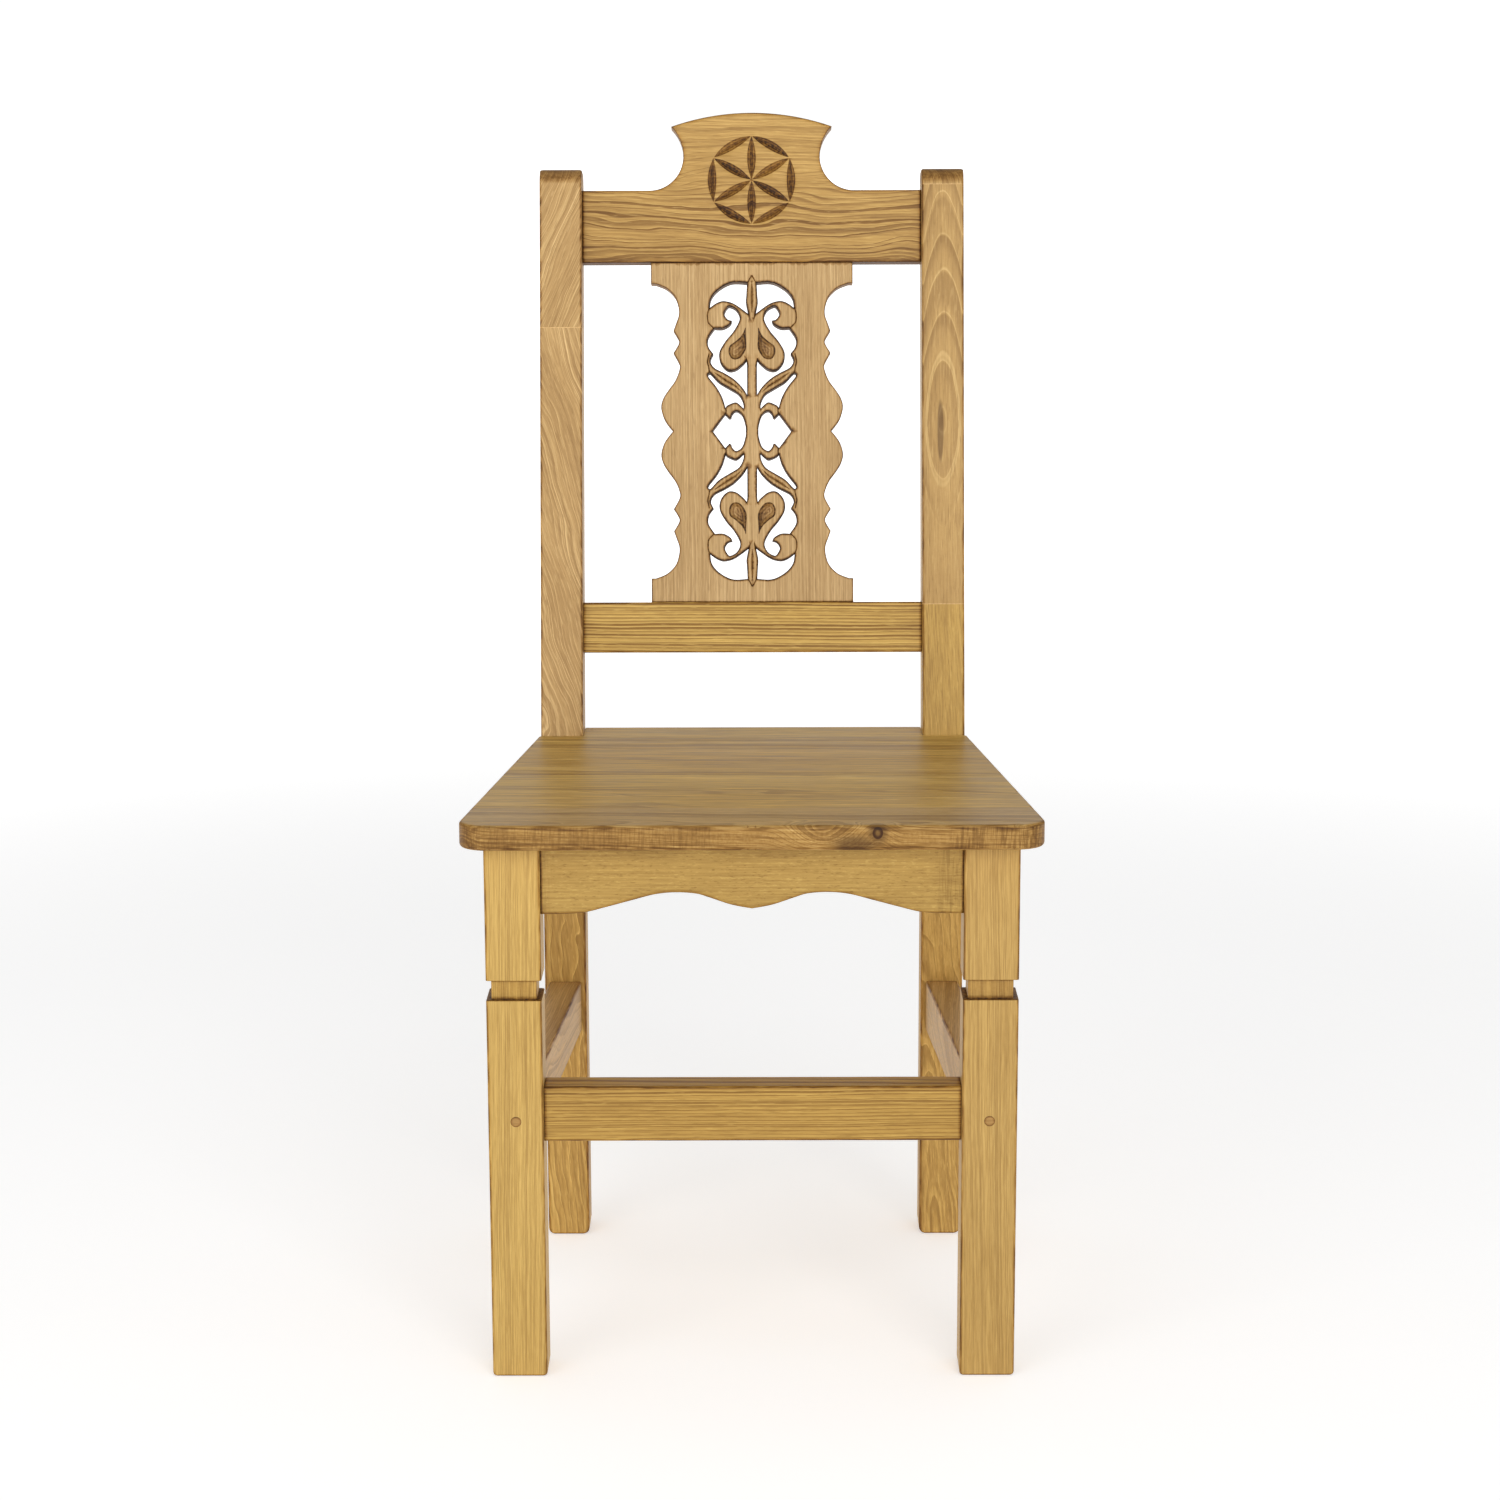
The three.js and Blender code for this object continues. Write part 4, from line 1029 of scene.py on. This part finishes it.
class Petal(Cut):
    """A V cut between two bowed rims, pointed at both ends."""

    def __init__(self, start, angle, length, left, right):
        self.start, self.length = start, length
        self.middle, self.half = (left - right) / 2, (left + right) / 2
        self.along = unit(angle)
        self.across = np.array((-self.along[1], self.along[0]))
        self.wax = PETAL_WAX * (1 - PETAL_GRAIN * math.sin(2 * angle))

    def lines(self):
        share = np.linspace(0, 1, round(self.length / CURVE_STEP))[:, None]
        bow = 4 * share * (1 - share)
        spine = self.start + share * self.length * self.along
        made = [(spine + self.across * bow * self.middle, False)]
        for out in PETAL_LINES:
            for side in (-1, 1):
                line = spine + self.across * bow * (self.middle + out * self.half * side)
                made.append((line[1:-1], False))
        return made

    def cut(self, points):
        offset = points - self.start
        share = offset @ self.along / self.length
        bow = np.where((share > 0) & (share < 1), 4 * share * (1 - share), 0)
        half = np.maximum(self.half * bow, TINY)
        fall = np.clip(1 - np.abs(offset @ self.across - self.middle * bow) / half, 0, 1)
        rows = 1 - np.array(PETAL_LINES + (0,))
        return PETAL_DEPTH * bow * fall, self.wax * np.interp(fall, rows, PETAL_STROKES)


def rosette(centre):
    turn = 2 * math.pi / PETAL_COUNT
    chord = 2 * ROSETTE_RADIUS * math.sin(turn / 2) - 2 * PETAL_GAP
    outer = ROSETTE_RADIUS * (1 - math.cos(turn / 2))
    petals = []
    for index in range(PETAL_COUNT):
        angle = math.pi / 2 + index * turn
        petals.append(Petal(centre + unit(angle) * PETAL_GAP, angle, ROSETTE_RADIUS - 2 * PETAL_GAP,
                            PETAL_WIDTH / 2, PETAL_WIDTH / 2))
        heading = angle + math.pi / 2 + turn / 2
        start = centre + unit(angle) * ROSETTE_RADIUS + unit(heading) * PETAL_GAP
        petals.append(Petal(start, heading, chord, PETAL_WIDTH - outer, outer))
    return petals


def add_crest():
    bottom = crest_low[2]
    outline = crest_outline(POST_INNER - JOINT_GAP, bottom)
    place = back @ Matrix.Translation((0, crest_low[1], 0)) @ FACING
    petals = rosette(np.array((0, bottom + CREST_HEIGHT + ROSETTE_RISE)))
    centre = on_back(0, crest_low[1], bottom + CREST_HEIGHT / 2)
    wood = pine("crest_pine", LEVEL, centre, (-58, -26), 4.8, colour=CREST_COLOUR, wave=11, wave_length=90,
                tilt=(0, 1.2), lines=1.15, band=0.5, streaks=0.5, uneven=1.7, calm=(1, 78, 112, 1.0, 0.42),
                fibre=0.4, fade=0.0015, edge_wax=0.5)
    # The wax on the crest's walls is partly painted shade, which darkens its underside.
    add_board("crest_rail", [outline], crest_high[1] - crest_low[1], place, wood, radius=1.2, cuts=petals,
              rim_wax=0.8, wall_wax_and_shade=0.5, joint_wax=0.8)


RAIL_FLAW = (-109, POST_FRONT + 31, SEAT_TOP + 116)  # beside the top edge


def add_lower_rail():
    centre = on_back(0, rail_low[1], (rail_low[2] + rail_high[2]) / 2)
    wood = pine("lower_rail_pine", LEVEL, centre, (-190, -60), 2.6, colour=LOWER_RAIL_COLOUR, wave=2.2,
                tilt=(0, 0.5), lines=1.05, band=0.3, streaks=0.45, uneven=1.2, fibre=0.26, cloudy=0.3,
                knots=[Knot(RAIL_FLAW, 1.3, length=3.4, shade=0.7)])
    add_rail("lower_back_rail", POST_INNER, wood, radius=1.3, place=back)


# Rear posts
POST_CROWN = 14
CROWN_STEPS = 9
CROWN_WAX = ((0, 0.06), (4, 0.5), (8, 0.52), (11, 0.34), (POST_CROWN, 0.22))  # at heights on the crown
GLUE_LINE = 0.5
POST_FOOT = 6
FOOT_EASE = 2
FOOT_LEVELS = (0, 0.3, 1, 2, 3.5)  # heights of the mesh's rings at a foot
RING_GAP = 8  # from a shaped end to the next ring of the mesh
FOOT_WAX = 0.9
FOOT_WAX_REACH = 1.8
CROWN_EASE = 2.2  # rounding of the top's left and right edges
POST_RADIUS = 2.0
LEAST_FLAT = 0.1  # half of what stays flat between the rims of a narrow ring
LOW_POST_RINGS = 26
HIGH_POST_RINGS = 30
POST_PLACES = (200, 400)  # heights above the seat that the woods are set out from
LEG_MIDDLE = 220  # the same above the floor
POST_FLAW = (-2.3, 267)  # from the post's middle, and above the seat
POST_JOINTS = {"left": [358], "right": [115, 482.7]}  # heights of the glued joints above the seat


def foot_wax(height):
    return FOOT_WAX * max(0, 1 - height / FOOT_WAX_REACH)


def post_stations(side, name):
    """Stations from the foot to the top, and the number of the glued length that each belongs to."""
    stations = []

    def station(front, rear, inset, wax, height):
        half = (rear - front) / 2
        most = np.linalg.norm(half) - RIM_WIDTH - LEAST_FLAT
        radius = min(worn_radius(POST_RADIUS, height, side), most)
        stations.append(((front + rear) / 2, np.array((POST_WIDTH / 2 - inset, 0, 0)), half, radius, wax))

    x = side * POST_X
    knee = SEAT_TOP - KNEE_DROP
    for z in [*FOOT_LEVELS, POST_FOOT, *np.linspace(POST_FOOT + RING_GAP, knee - RING_GAP, LOW_POST_RINGS)]:
        ease = rounding_drop(z, FOOT_EASE)
        front, rear = np.array(((x, POST_FRONT + ease, z), (x, POST_REAR - ease, z)))
        station(front, rear, rounding_drop(z, POST_FOOT), foot_wax(z), z)
    station(np.array((x, POST_FRONT, SEAT_TOP)), np.array((x, POST_REAR, knee)), 0, 0, knee)
    numbers = [0] * (len(stations) - 1)
    crown = POST_LENGTH - POST_CROWN
    rounding = arc((0, crown), POST_CROWN, 0, 90, CROWN_STEPS)[1:, 1]
    levels = [*np.linspace(RING_GAP, crown, HIGH_POST_RINGS), *rounding]
    cuts = [joint + edge for joint in POST_JOINTS[name] for edge in (0, GLUE_LINE)]
    for height in sorted(levels + cuts):
        drop = rounding_drop(POST_LENGTH - height, POST_CROWN)
        inset = rounding_drop(POST_LENGTH - height, CROWN_EASE)
        wax = np.interp(height - crown, *np.array(CROWN_WAX).T)
        station(on_back(x, drop, height), on_back(x, POST_DEPTH - drop, height), inset, wax, height)
        numbers.append(1 + sum(height > cut + TINY for cut in cuts))
    return stations, numbers


def left_post_woods(low, middle, top, glue):
    """Woods of the left post from the foot up."""
    swept = dict(lines=0.42, band=0.1, streaks=1.0, fibre=0.2, colour=LEFT_POST_COLOUR)
    return [
        pine("left_rear_leg_pine", UPRIGHT, low, (24, 20), 6.2, wave=10, wave_length=60, tilt=(3, 5),
             lines=0.6, band=0.05, streaks=0.9, light=0.16, colour=REAR_LEG_COLOUR),
        pine("left_post_pine", UPRIGHT, middle, (-110, 40), 4.2, wave=11, wave_length=90, tilt=(8, 18),
             **swept),
        glue,
        pine("left_post_top_pine", UPRIGHT, top, (90, 30), 4.0, wave=9, wave_length=80, tilt=(8, -24),
             **swept),
    ]


def right_post_woods(low, middle, top, glue):
    """Woods of the right post from the foot up. Its long closed ovals lie round a flaw."""
    flaw = on_back(POST_X + POST_FLAW[0], 0, POST_FLAW[1])
    return [
        pine("right_rear_leg_pine", UPRIGHT, low, (-14, 20), 4.4, wave=7, wave_length=70, tilt=(5, 3),
             lines=0.55, band=0.25, streaks=0.35, colour=REAR_LEG_COLOUR),
        pine("right_post_low_pine", UPRIGHT, middle, (60, 50), 4.2, wave=4, tilt=(8, 2), lines=0.2,
             streaks=0.2, colour=LOW_POST_COLOUR),
        glue,
        pine("right_post_pine", UPRIGHT, flaw, (3, 32.2), 3.4, wave=1.2, tilt=(RAKE, 0), band=0.05,
             streaks=0.8, light=0.065, uneven=0.7, cone=0.12, skew=-0.1, calm=(0, -105, 5, 0.0, 1.0),
             fibre=0.22, knots=[Knot(flaw, 2.7, length=9.5, shade=0.6, soft=1.2)], colour=POST_COLOUR),
        glue,
        pine("right_post_top_pine", UPRIGHT, top, (50, 30), 3.8, wave=3, tilt=(12, 4), lines=0.4,
             colour=POST_COLOUR),
    ]


def add_posts():
    for (name, side), woods in zip(SIDES, (left_post_woods, right_post_woods)):
        low = (side * POST_X, POST_FRONT, LEG_MIDDLE)
        middle, top = (on_back(side * POST_X, 0, height) for height in POST_PLACES)
        glue = pine(f"{name}_post_joint_pine", UPRIGHT, top, (60, 40), 4, lines=0, streaks=0,
                    colour=GLUE_COLOUR)
        stations, belts = post_stations(side, name)
        add_loft(f"rear_post_{name}", stations, woods(low, middle, top, glue), belts)


# Front legs
LEG_RADIUS = 1.6
LEG_FOOT = 3.5
NECK_TOP = 330
NECK_HEIGHT = 16
NECK_DEPTH = 4
NECK_EASE = 0.5
# Wax and painted shade along the recessed neck and at its edges
NECK_WAX_AND_SHADE = 0.16
# Heights of the mesh's rings on the neck, and their wax, which is partly painted shade in the recess
NECK_RINGS = ((0, 0.85), (0.8, 0.6), (3, NECK_WAX_AND_SHADE), (NECK_HEIGHT - 2, NECK_WAX_AND_SHADE), (NECK_HEIGHT, 0.75))
EDGE_GAPS = (1.6, NECK_EASE, NECK_EASE / 2, 0)  # of the rings beside the neck
LOW_LEG_RINGS = 24
HIGH_LEG_RINGS = 8
NECK_MARGIN = 3  # from the low rings to the neck
HIGH_LEG_START = 10  # from the neck to the high rings
HIGH_LEG_STOP = 4  # from there to the top
SHOULDER_WAX_AND_SHADE = 0.7  # below the neck
LIP_WAX_AND_SHADE = 0.5  # above it


def leg_stations(side):
    stations = []

    def station(z, inset_a, inset_b, wax, radius):
        centre = np.array((side * LEG_X, (LEG_FRONT + LEG_REAR) / 2, z))
        axis_a = np.array((LEG_WIDTH / 2 - inset_a, 0, 0))
        axis_b = np.array((0, LEG_DEPTH / 2 - inset_b, 0))
        stations.append((centre, axis_a, axis_b, radius, wax))

    def straight(start, stop, count):
        for z in np.linspace(start, stop, count):
            station(z, 0, 0, 0, worn_radius(LEG_RADIUS, z, side))

    for z in FOOT_LEVELS:
        station(z, rounding_drop(z, LEG_FOOT), rounding_drop(z, FOOT_EASE), foot_wax(z), LEG_RADIUS)
    neck = NECK_TOP - NECK_HEIGHT
    straight(LEG_FOOT + RING_GAP, neck - NECK_MARGIN, LOW_LEG_RINGS)
    rounded = [(gap, rounding_drop(gap, NECK_EASE)) for gap in EDGE_GAPS]
    for gap, inset in rounded:
        station(neck - gap, inset, inset, SHOULDER_WAX_AND_SHADE if inset else 0, LEG_RADIUS)
    for rise, wax in NECK_RINGS:
        station(neck + rise, NECK_DEPTH, NECK_DEPTH, wax, LEG_RADIUS / 2)
    for gap, inset in reversed(rounded):
        station(NECK_TOP + gap, inset, inset, LIP_WAX_AND_SHADE if inset else 0, LEG_RADIUS)
    straight(NECK_TOP + HIGH_LEG_START, FRAME_TOP - HIGH_LEG_STOP, HIGH_LEG_RINGS)
    station(FRAME_TOP, 0, 0, END_WAX, LEG_RADIUS)
    return stations


def add_front_legs():
    for name, side in SIDES:
        centre = (side * LEG_X, LEG_FRONT, LEG_MIDDLE)
        wood = pine(f"front_leg_{name}_pine", UPRIGHT, centre, (side * -140, 120), 2.6, wave=2.6,
                    tilt=(0.6, side * 0.5), lines=0.36, streaks=0.35, colour=LEG_COLOURS[name], flecks=0.14,
                    fleck_rate=0.03, cloudy=0.3, coarse=0.55)
        add_loft(f"front_leg_{name}", leg_stations(side), [wood])


# Plugs, a little proud of the wood
PLUG_RADIUS = 4.25
PLUG_PROUD = 0.18
PLUG_SIDES = 32
# Rings from the middle outwards: radius, share of the height that it is proud, and how much of an edge it is
PLUG_RINGS = ((0.02, 1, 0), (2.4, 1, 0), (PLUG_RADIUS - 0.5, 0.9, 0.35), (PLUG_RADIUS - 0.1, 0.4, 1),
              (PLUG_RADIUS, 0, 1))
PLUG_WAX = 0.75


def add_plug(node, outward, side):
    """A plug whose face looks forward if outward is -1 and back if it is 1."""
    low, high = extent(node)
    face, inner = (low[1], high[1]) if outward < 0 else (high[1], low[1])
    x, z = (low[0] + high[0]) / 2, (low[2] + high[2]) / 2
    rings = [(radius, face + outward * PLUG_PROUD * share, edge) for radius, share, edge in PLUG_RINGS]
    rings.append((PLUG_RADIUS, inner, 1))
    vertices, edges = [], []
    for radius, y, edge in rings:
        vertices.extend((a, y, b) for a, b in arc((x, z), radius, 0, 360, PLUG_SIDES)[:-1])
        edges.extend([edge] * PLUG_SIDES)
    wood = pine(f"{node}_pine", LEVEL, (x, face, z), (9 * side, 14), 1.5, wave=0.6, lines=0.3,
                colour=PLUG_COLOUR)
    marks = {"edge": edges, "wax": np.array(edges) * PLUG_WAX}
    add_piece(node, vertices, tube_faces(PLUG_SIDES, len(rings)), marks, [wood])


def add_plugs():
    for name, side in SIDES:
        for end, outward in (("front", -1), ("rear", 1)):
            add_plug(f"plug_{end}_{name}", outward, side)


# Aprons and stretchers
def add_front_apron():
    low, high = extent("front_apron")
    half = LEG_INNER - JOINT_GAP
    edge = np.array(SCALLOP_SHARE) * (half, SCALLOP_RISE) + (0, low[2])
    right = np.concatenate([[(half, high[2]), (half, low[2])], smooth(edge)])
    outline = np.concatenate([right, edge[-1:], mirrored(right)])
    place = Matrix.Translation((0, low[1], 0)) @ FACING
    wood = pine("front_apron_pine", LEVEL, (0, low[1], low[2]), (-210, -90), 2.4, wave=2.5, lines=0.14,
                streaks=0.2, flecks=0.42, fleck_rate=0.22, cloudy=0.3, colour=APRON_COLOUR,
                hatch=[(140, 180, 0.4), (-180, -152, 0.3)])
    add_board("front_apron", [outline], high[1] - low[1], place, wood, radius=1.0, rim_wax=0.5, wall_wax_and_shade=0.6,
              joint_wax=0.8)


def add_rear_apron():
    low, high = extent("rear_apron")
    wood = pine("rear_apron_pine", LEVEL, (low + high) / 2, (-60, 40), 3.4, wave=4, lines=0.4)
    add_rail("rear_apron", POST_INNER, wood)


SIDE_APRON_THICKNESS = 22
SIDE_STRETCHER_THICKNESS = 28


def side_place(side, height):
    """Frame of a side rail: X runs back from the leg to the post, closing in, and Y runs across."""
    slope = side * (POST_X - LEG_X) / (POST_FRONT - LEG_REAR)
    start = side * LEG_X - slope * LEG_REAR
    return Matrix(((slope, 1, 0, start), (1, 0, 0, 0), (0, 0, 1, height), (0, 0, 0, 1)))


def add_side_rails():
    for name, side in SIDES:
        for node, thickness, pith in ((f"side_apron_{name}", SIDE_APRON_THICKNESS, (-120, 60)),
                                      (f"side_stretcher_{name}", SIDE_STRETCHER_THICKNESS, (20, 34 * side))):
            low, high = extent(node)
            middle = (low[2] + high[2]) / 2
            wood = pine(f"{node}_pine", ALONG_SIDE, (side * LEG_X, 0, middle), pith, 4.2, wave=4, lines=0.4,
                        tilt=(5, 0), colour=SIDE_COLOUR)
            add_bar(node, LEG_REAR + JOINT_GAP, POST_FRONT - JOINT_GAP, thickness / 2,
                    (high[2] - low[2]) / 2, side_place(side, middle), wood, radius=1.8)


def add_front_stretcher():
    low, high = extent("front_stretcher")
    wood = pine("front_stretcher_pine", LEVEL, (0, low[1], (low[2] + high[2]) / 2), (-170, -70), 2.7,
                colour=STRETCHER_COLOUR, wave=1.8, tilt=(0, -0.4), lines=0.9, band=0.36, streaks=0.45,
                uneven=1.3, fibre=0.28, cloudy=0.35)
    add_rail("front_stretcher", LEG_INNER, wood, radius=2.0)


# Seat
SEAT_FRONT = seat_low[1]
SEAT_WIDTH = 462
SEAT_REAR_WIDTH = 377
SEAT_CORNER = 22
SEAT_CORNER_STEPS = 20
SEAT_FIT = 0.3  # round the posts
SEAT_SHOULDER = POST_FRONT - SEAT_FIT
SEAT_RADIUS = 2.6
SEAT_ROWS = [0.34, 1.3, SEAT_RADIUS, 4.0]  # rows of the mesh beside the worn edges
SEAT_BOARDS = 6
SEAT_HATCH = [(-235, -20, 0.3), (150, 235, 0.5)]
FRONT_KNOTS = [Knot((97.5, SEAT_FRONT, SEAT_BOTTOM + 14), 5, length=0.85, flow=-8, shade=1, ringed=True),
               Knot((80, SEAT_FRONT - 1, SEAT_BOTTOM + 5), 6, length=2.3, shade=0.6, soft=1.8),
               Knot((54, SEAT_FRONT, SEAT_BOTTOM + 9), 5, length=1.8, flow=15, shade=0)]
TOP_KNOTS = {2: [Knot((-86, -165, SEAT_TOP), 4, length=5, flow=7, shade=0.25, soft=2)],
             5: [Knot((-124, 45, SEAT_TOP), 4, length=4, flow=6, shade=0.25, soft=2)]}


def seat_corner_points():
    """The seat's outline from the middle of its front edge to the post, on the right side."""
    half, rear_half = SEAT_WIDTH / 2, SEAT_REAR_WIDTH / 2
    lean = math.atan2(half - rear_half, SEAT_SHOULDER - SEAT_FRONT)
    set_in = SEAT_CORNER * math.tan(math.pi / 4 + lean / 2)
    centre = (half - set_in, SEAT_FRONT + SEAT_CORNER)
    corner = arc(centre, SEAT_CORNER, -90, math.degrees(lean), SEAT_CORNER_STEPS)
    return np.concatenate([[(0, SEAT_FRONT)], corner, [(rear_half, SEAT_SHOULDER)]])


def clipped(outline, low, high):
    """The part of an outline between two levels of Y."""
    for level, keep in ((low, 1), (high, -1)):
        made = []
        for here, there in zip(outline, np.roll(outline, -1, 0)):
            if keep * here[1] >= keep * level:
                made.append(here)
            if (here[1] - level) * (there[1] - level) < 0:
                share = (level - here[1]) / (there[1] - here[1])
                made.append(here + share * (there - here))
        outline = np.array(made)
    return outline


def divided(outline, gaps):
    """The outline with points added near both ends of its long straight edges."""
    made = []
    for here, there in zip(outline, np.roll(outline, -1, 0)):
        made.append(here)
        length = np.hypot(*(there - here))
        if length > 3 * gaps[-1]:
            shares = [gap / length for gap in gaps]
            shares += [1 - share for share in reversed(shares)]
            made.extend(here + share * (there - here) for share in shares)
    return np.array(made)


def seat_wood(number, centre):
    """Pine of a seat board, each cut from another place in the log. The front one shows its edge too."""
    features = dict(wave=7, wave_length=170, tilt=(2.2 * (-1) ** number, 0.8), lines=0.55, streaks=0.5,
                    hatch=SEAT_HATCH, roughness=0.42, shine=0.2)
    if number == 1:
        features.update(ring=3.6, colour=SEAT_FRONT_COLOUR, band=0.3, fibre=0.35, knots=FRONT_KNOTS)
    else:
        features.update(ring=6.5, colour=SEAT_COLOURS[number % 3], band=0.45, fibre=0.5, coarse=2.2,
                        knots=TOP_KNOTS.get(number, ()))
    pith = ((-1) ** number * (18 + 7 * number), -26 - 5 * (number % 3))
    return pine(f"seat_pine_{number}", LYING, centre, pith, **features)


def add_seat():
    right = seat_corner_points()
    rear = extent(f"seat_board_{SEAT_BOARDS}")[1][1]
    tab = POST_INNER - SEAT_FIT
    half = np.concatenate([right, [(tab, SEAT_SHOULDER), (tab, rear)]])
    outline = np.concatenate([half, mirrored(half[1:])])
    rear_edge = np.array([(tab, rear), (-tab, rear)])
    worn = [(np.concatenate([mirrored(right[1:]), right]), False), (rear_edge, False)]
    place = Matrix(((1, 0, 0, 0), (0, 1, 0, 0), (0, 0, -1, SEAT_TOP), (0, 0, 0, 1)))
    for number in range(1, SEAT_BOARDS + 1):
        low, high = extent(f"seat_board_{number}")
        strip = clipped(outline, low[1] - JOINT_GAP / 2, high[1] + JOINT_GAP / 2)
        strip = divided(strip[np.hypot(*(strip - np.roll(strip, 1, 0)).T) > TINY], SEAT_ROWS)
        wood = seat_wood(number, (0, (low[1] + high[1]) / 2, SEAT_TOP))
        add_board(f"seat_board_{number}", [strip], SEAT_TOP - SEAT_BOTTOM, place, wood, radius=SEAT_RADIUS,
                  worn=worn, spacing=8, rows=SEAT_ROWS, wall_wax_and_shade=0.3)


# Pieces that keep their CAD shape
def bare_pine():
    material = bpy.data.materials.new("bare_pine")
    nodes = Nodes(material)
    place = nodes.place()
    threads = nodes.noise(place, 0.02, 0.5, 3.0)
    rings = nodes.math("FRACT", threads * 1.6 + nodes.noise(place, 0.01, 0.3))
    colour = nodes.mix(nodes.step(rings, 0.4, 0.95), srgb(0xE0C48F), srgb(0xC79A58))
    nodes.surface({"Base Color": colour, "Roughness": threads * 0.2 + 0.55})
    return material


def zinc():
    material = bpy.data.materials.new("zinc")
    nodes = Nodes(material)
    spots = nodes.noise(nodes.place(), 0.9, 0.9, 3.0)
    colour = nodes.mix(spots, srgb(0x9FA3A8), srgb(0xC9CCD0))
    nodes.surface({"Base Color": colour, "Roughness": spots * 0.25 + 0.22, "Metallic": 1.0})
    return material


def dress_hidden_pieces():
    hidden = {"corner_block": bare_pine(), "screw": zinc()}
    for name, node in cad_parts.items():
        for word, material in hidden.items():
            if word in name:
                node.data.materials.clear()
                node.data.materials.append(material)


# Stage
FLOOR_REACH = 40  # metres, as are the next two and the places and sizes of the lights
GLOW_START = 1.2
GLOW_END = 5.0
FLOOR_GLOW = 0.42  # of the floor near the chair
FAR_GLOW = 1.05  # of the floor far away, which meets the bright surroundings
SKY_LOW = 1.05  # brightness of the surroundings at the horizon
SKY_HIGH = 0.42  # and overhead
SKY_CHANGE = (0.05, 0.6)  # heights between which it changes
LIGHT_AIM = (0, 0, 0.5)  # metres too


def add_floor():
    mesh = bpy.data.meshes.new("floor")
    corners = [(x * FLOOR_REACH, y * FLOOR_REACH, 0) for x, y in ((-1, -1), (1, -1), (1, 1), (-1, 1))]
    mesh.from_pydata(corners, [], [(0, 1, 2, 3)])
    material = bpy.data.materials.new("floor")
    nodes = Nodes(material)
    away = nodes.length(nodes.add("TexCoord", output="Object"))
    nodes.surface({"Base Color": (0.88, 0.88, 0.88, 1), "Roughness": 0.9, "Specular IOR Level": 0.1,
                   "Emission Color": (1, 1, 1, 1),
                   "Emission Strength": nodes.step(away, GLOW_START, GLOW_END, FLOOR_GLOW, FAR_GLOW)})
    mesh.materials.append(material)
    new_object("floor", mesh)


def add_light(name, place, size, power):
    data = bpy.data.lights.new(name, "AREA")
    data.size = size
    data.energy = power
    light = new_object(name, data)
    light.location = place
    light.rotation_euler = (Vector(LIGHT_AIM) - Vector(place)).to_track_quat("-Z", "Y").to_euler()


def add_surroundings():
    world = bpy.data.worlds.new("surroundings")
    bpy.context.scene.world = world
    nodes = Nodes(world)
    height = nodes.parts(nodes.add("TexCoord", output="Generated"))[2]
    sky = {"Color": (1, 1, 1, 1), "Strength": nodes.step(height, *SKY_CHANGE, SKY_LOW, SKY_HIGH)}
    nodes.add("OutputWorld", {"Surface": nodes.add("Background", sky)})
    add_light("key", (0.9, -3.2, 2.0), size=1.8, power=32)
    add_light("fill", (-1.9, -2.7, 1.3), size=2.0, power=21)
    bpy.context.scene.view_settings.view_transform = "Standard"


add_camera()
add_front_legs()
add_posts()
add_plugs()
add_front_apron()
add_rear_apron()
add_side_rails()
add_front_stretcher()
add_seat()
add_lower_rail()
add_crest()
add_splat()
dress_hidden_pieces()
add_floor()
add_surroundings()
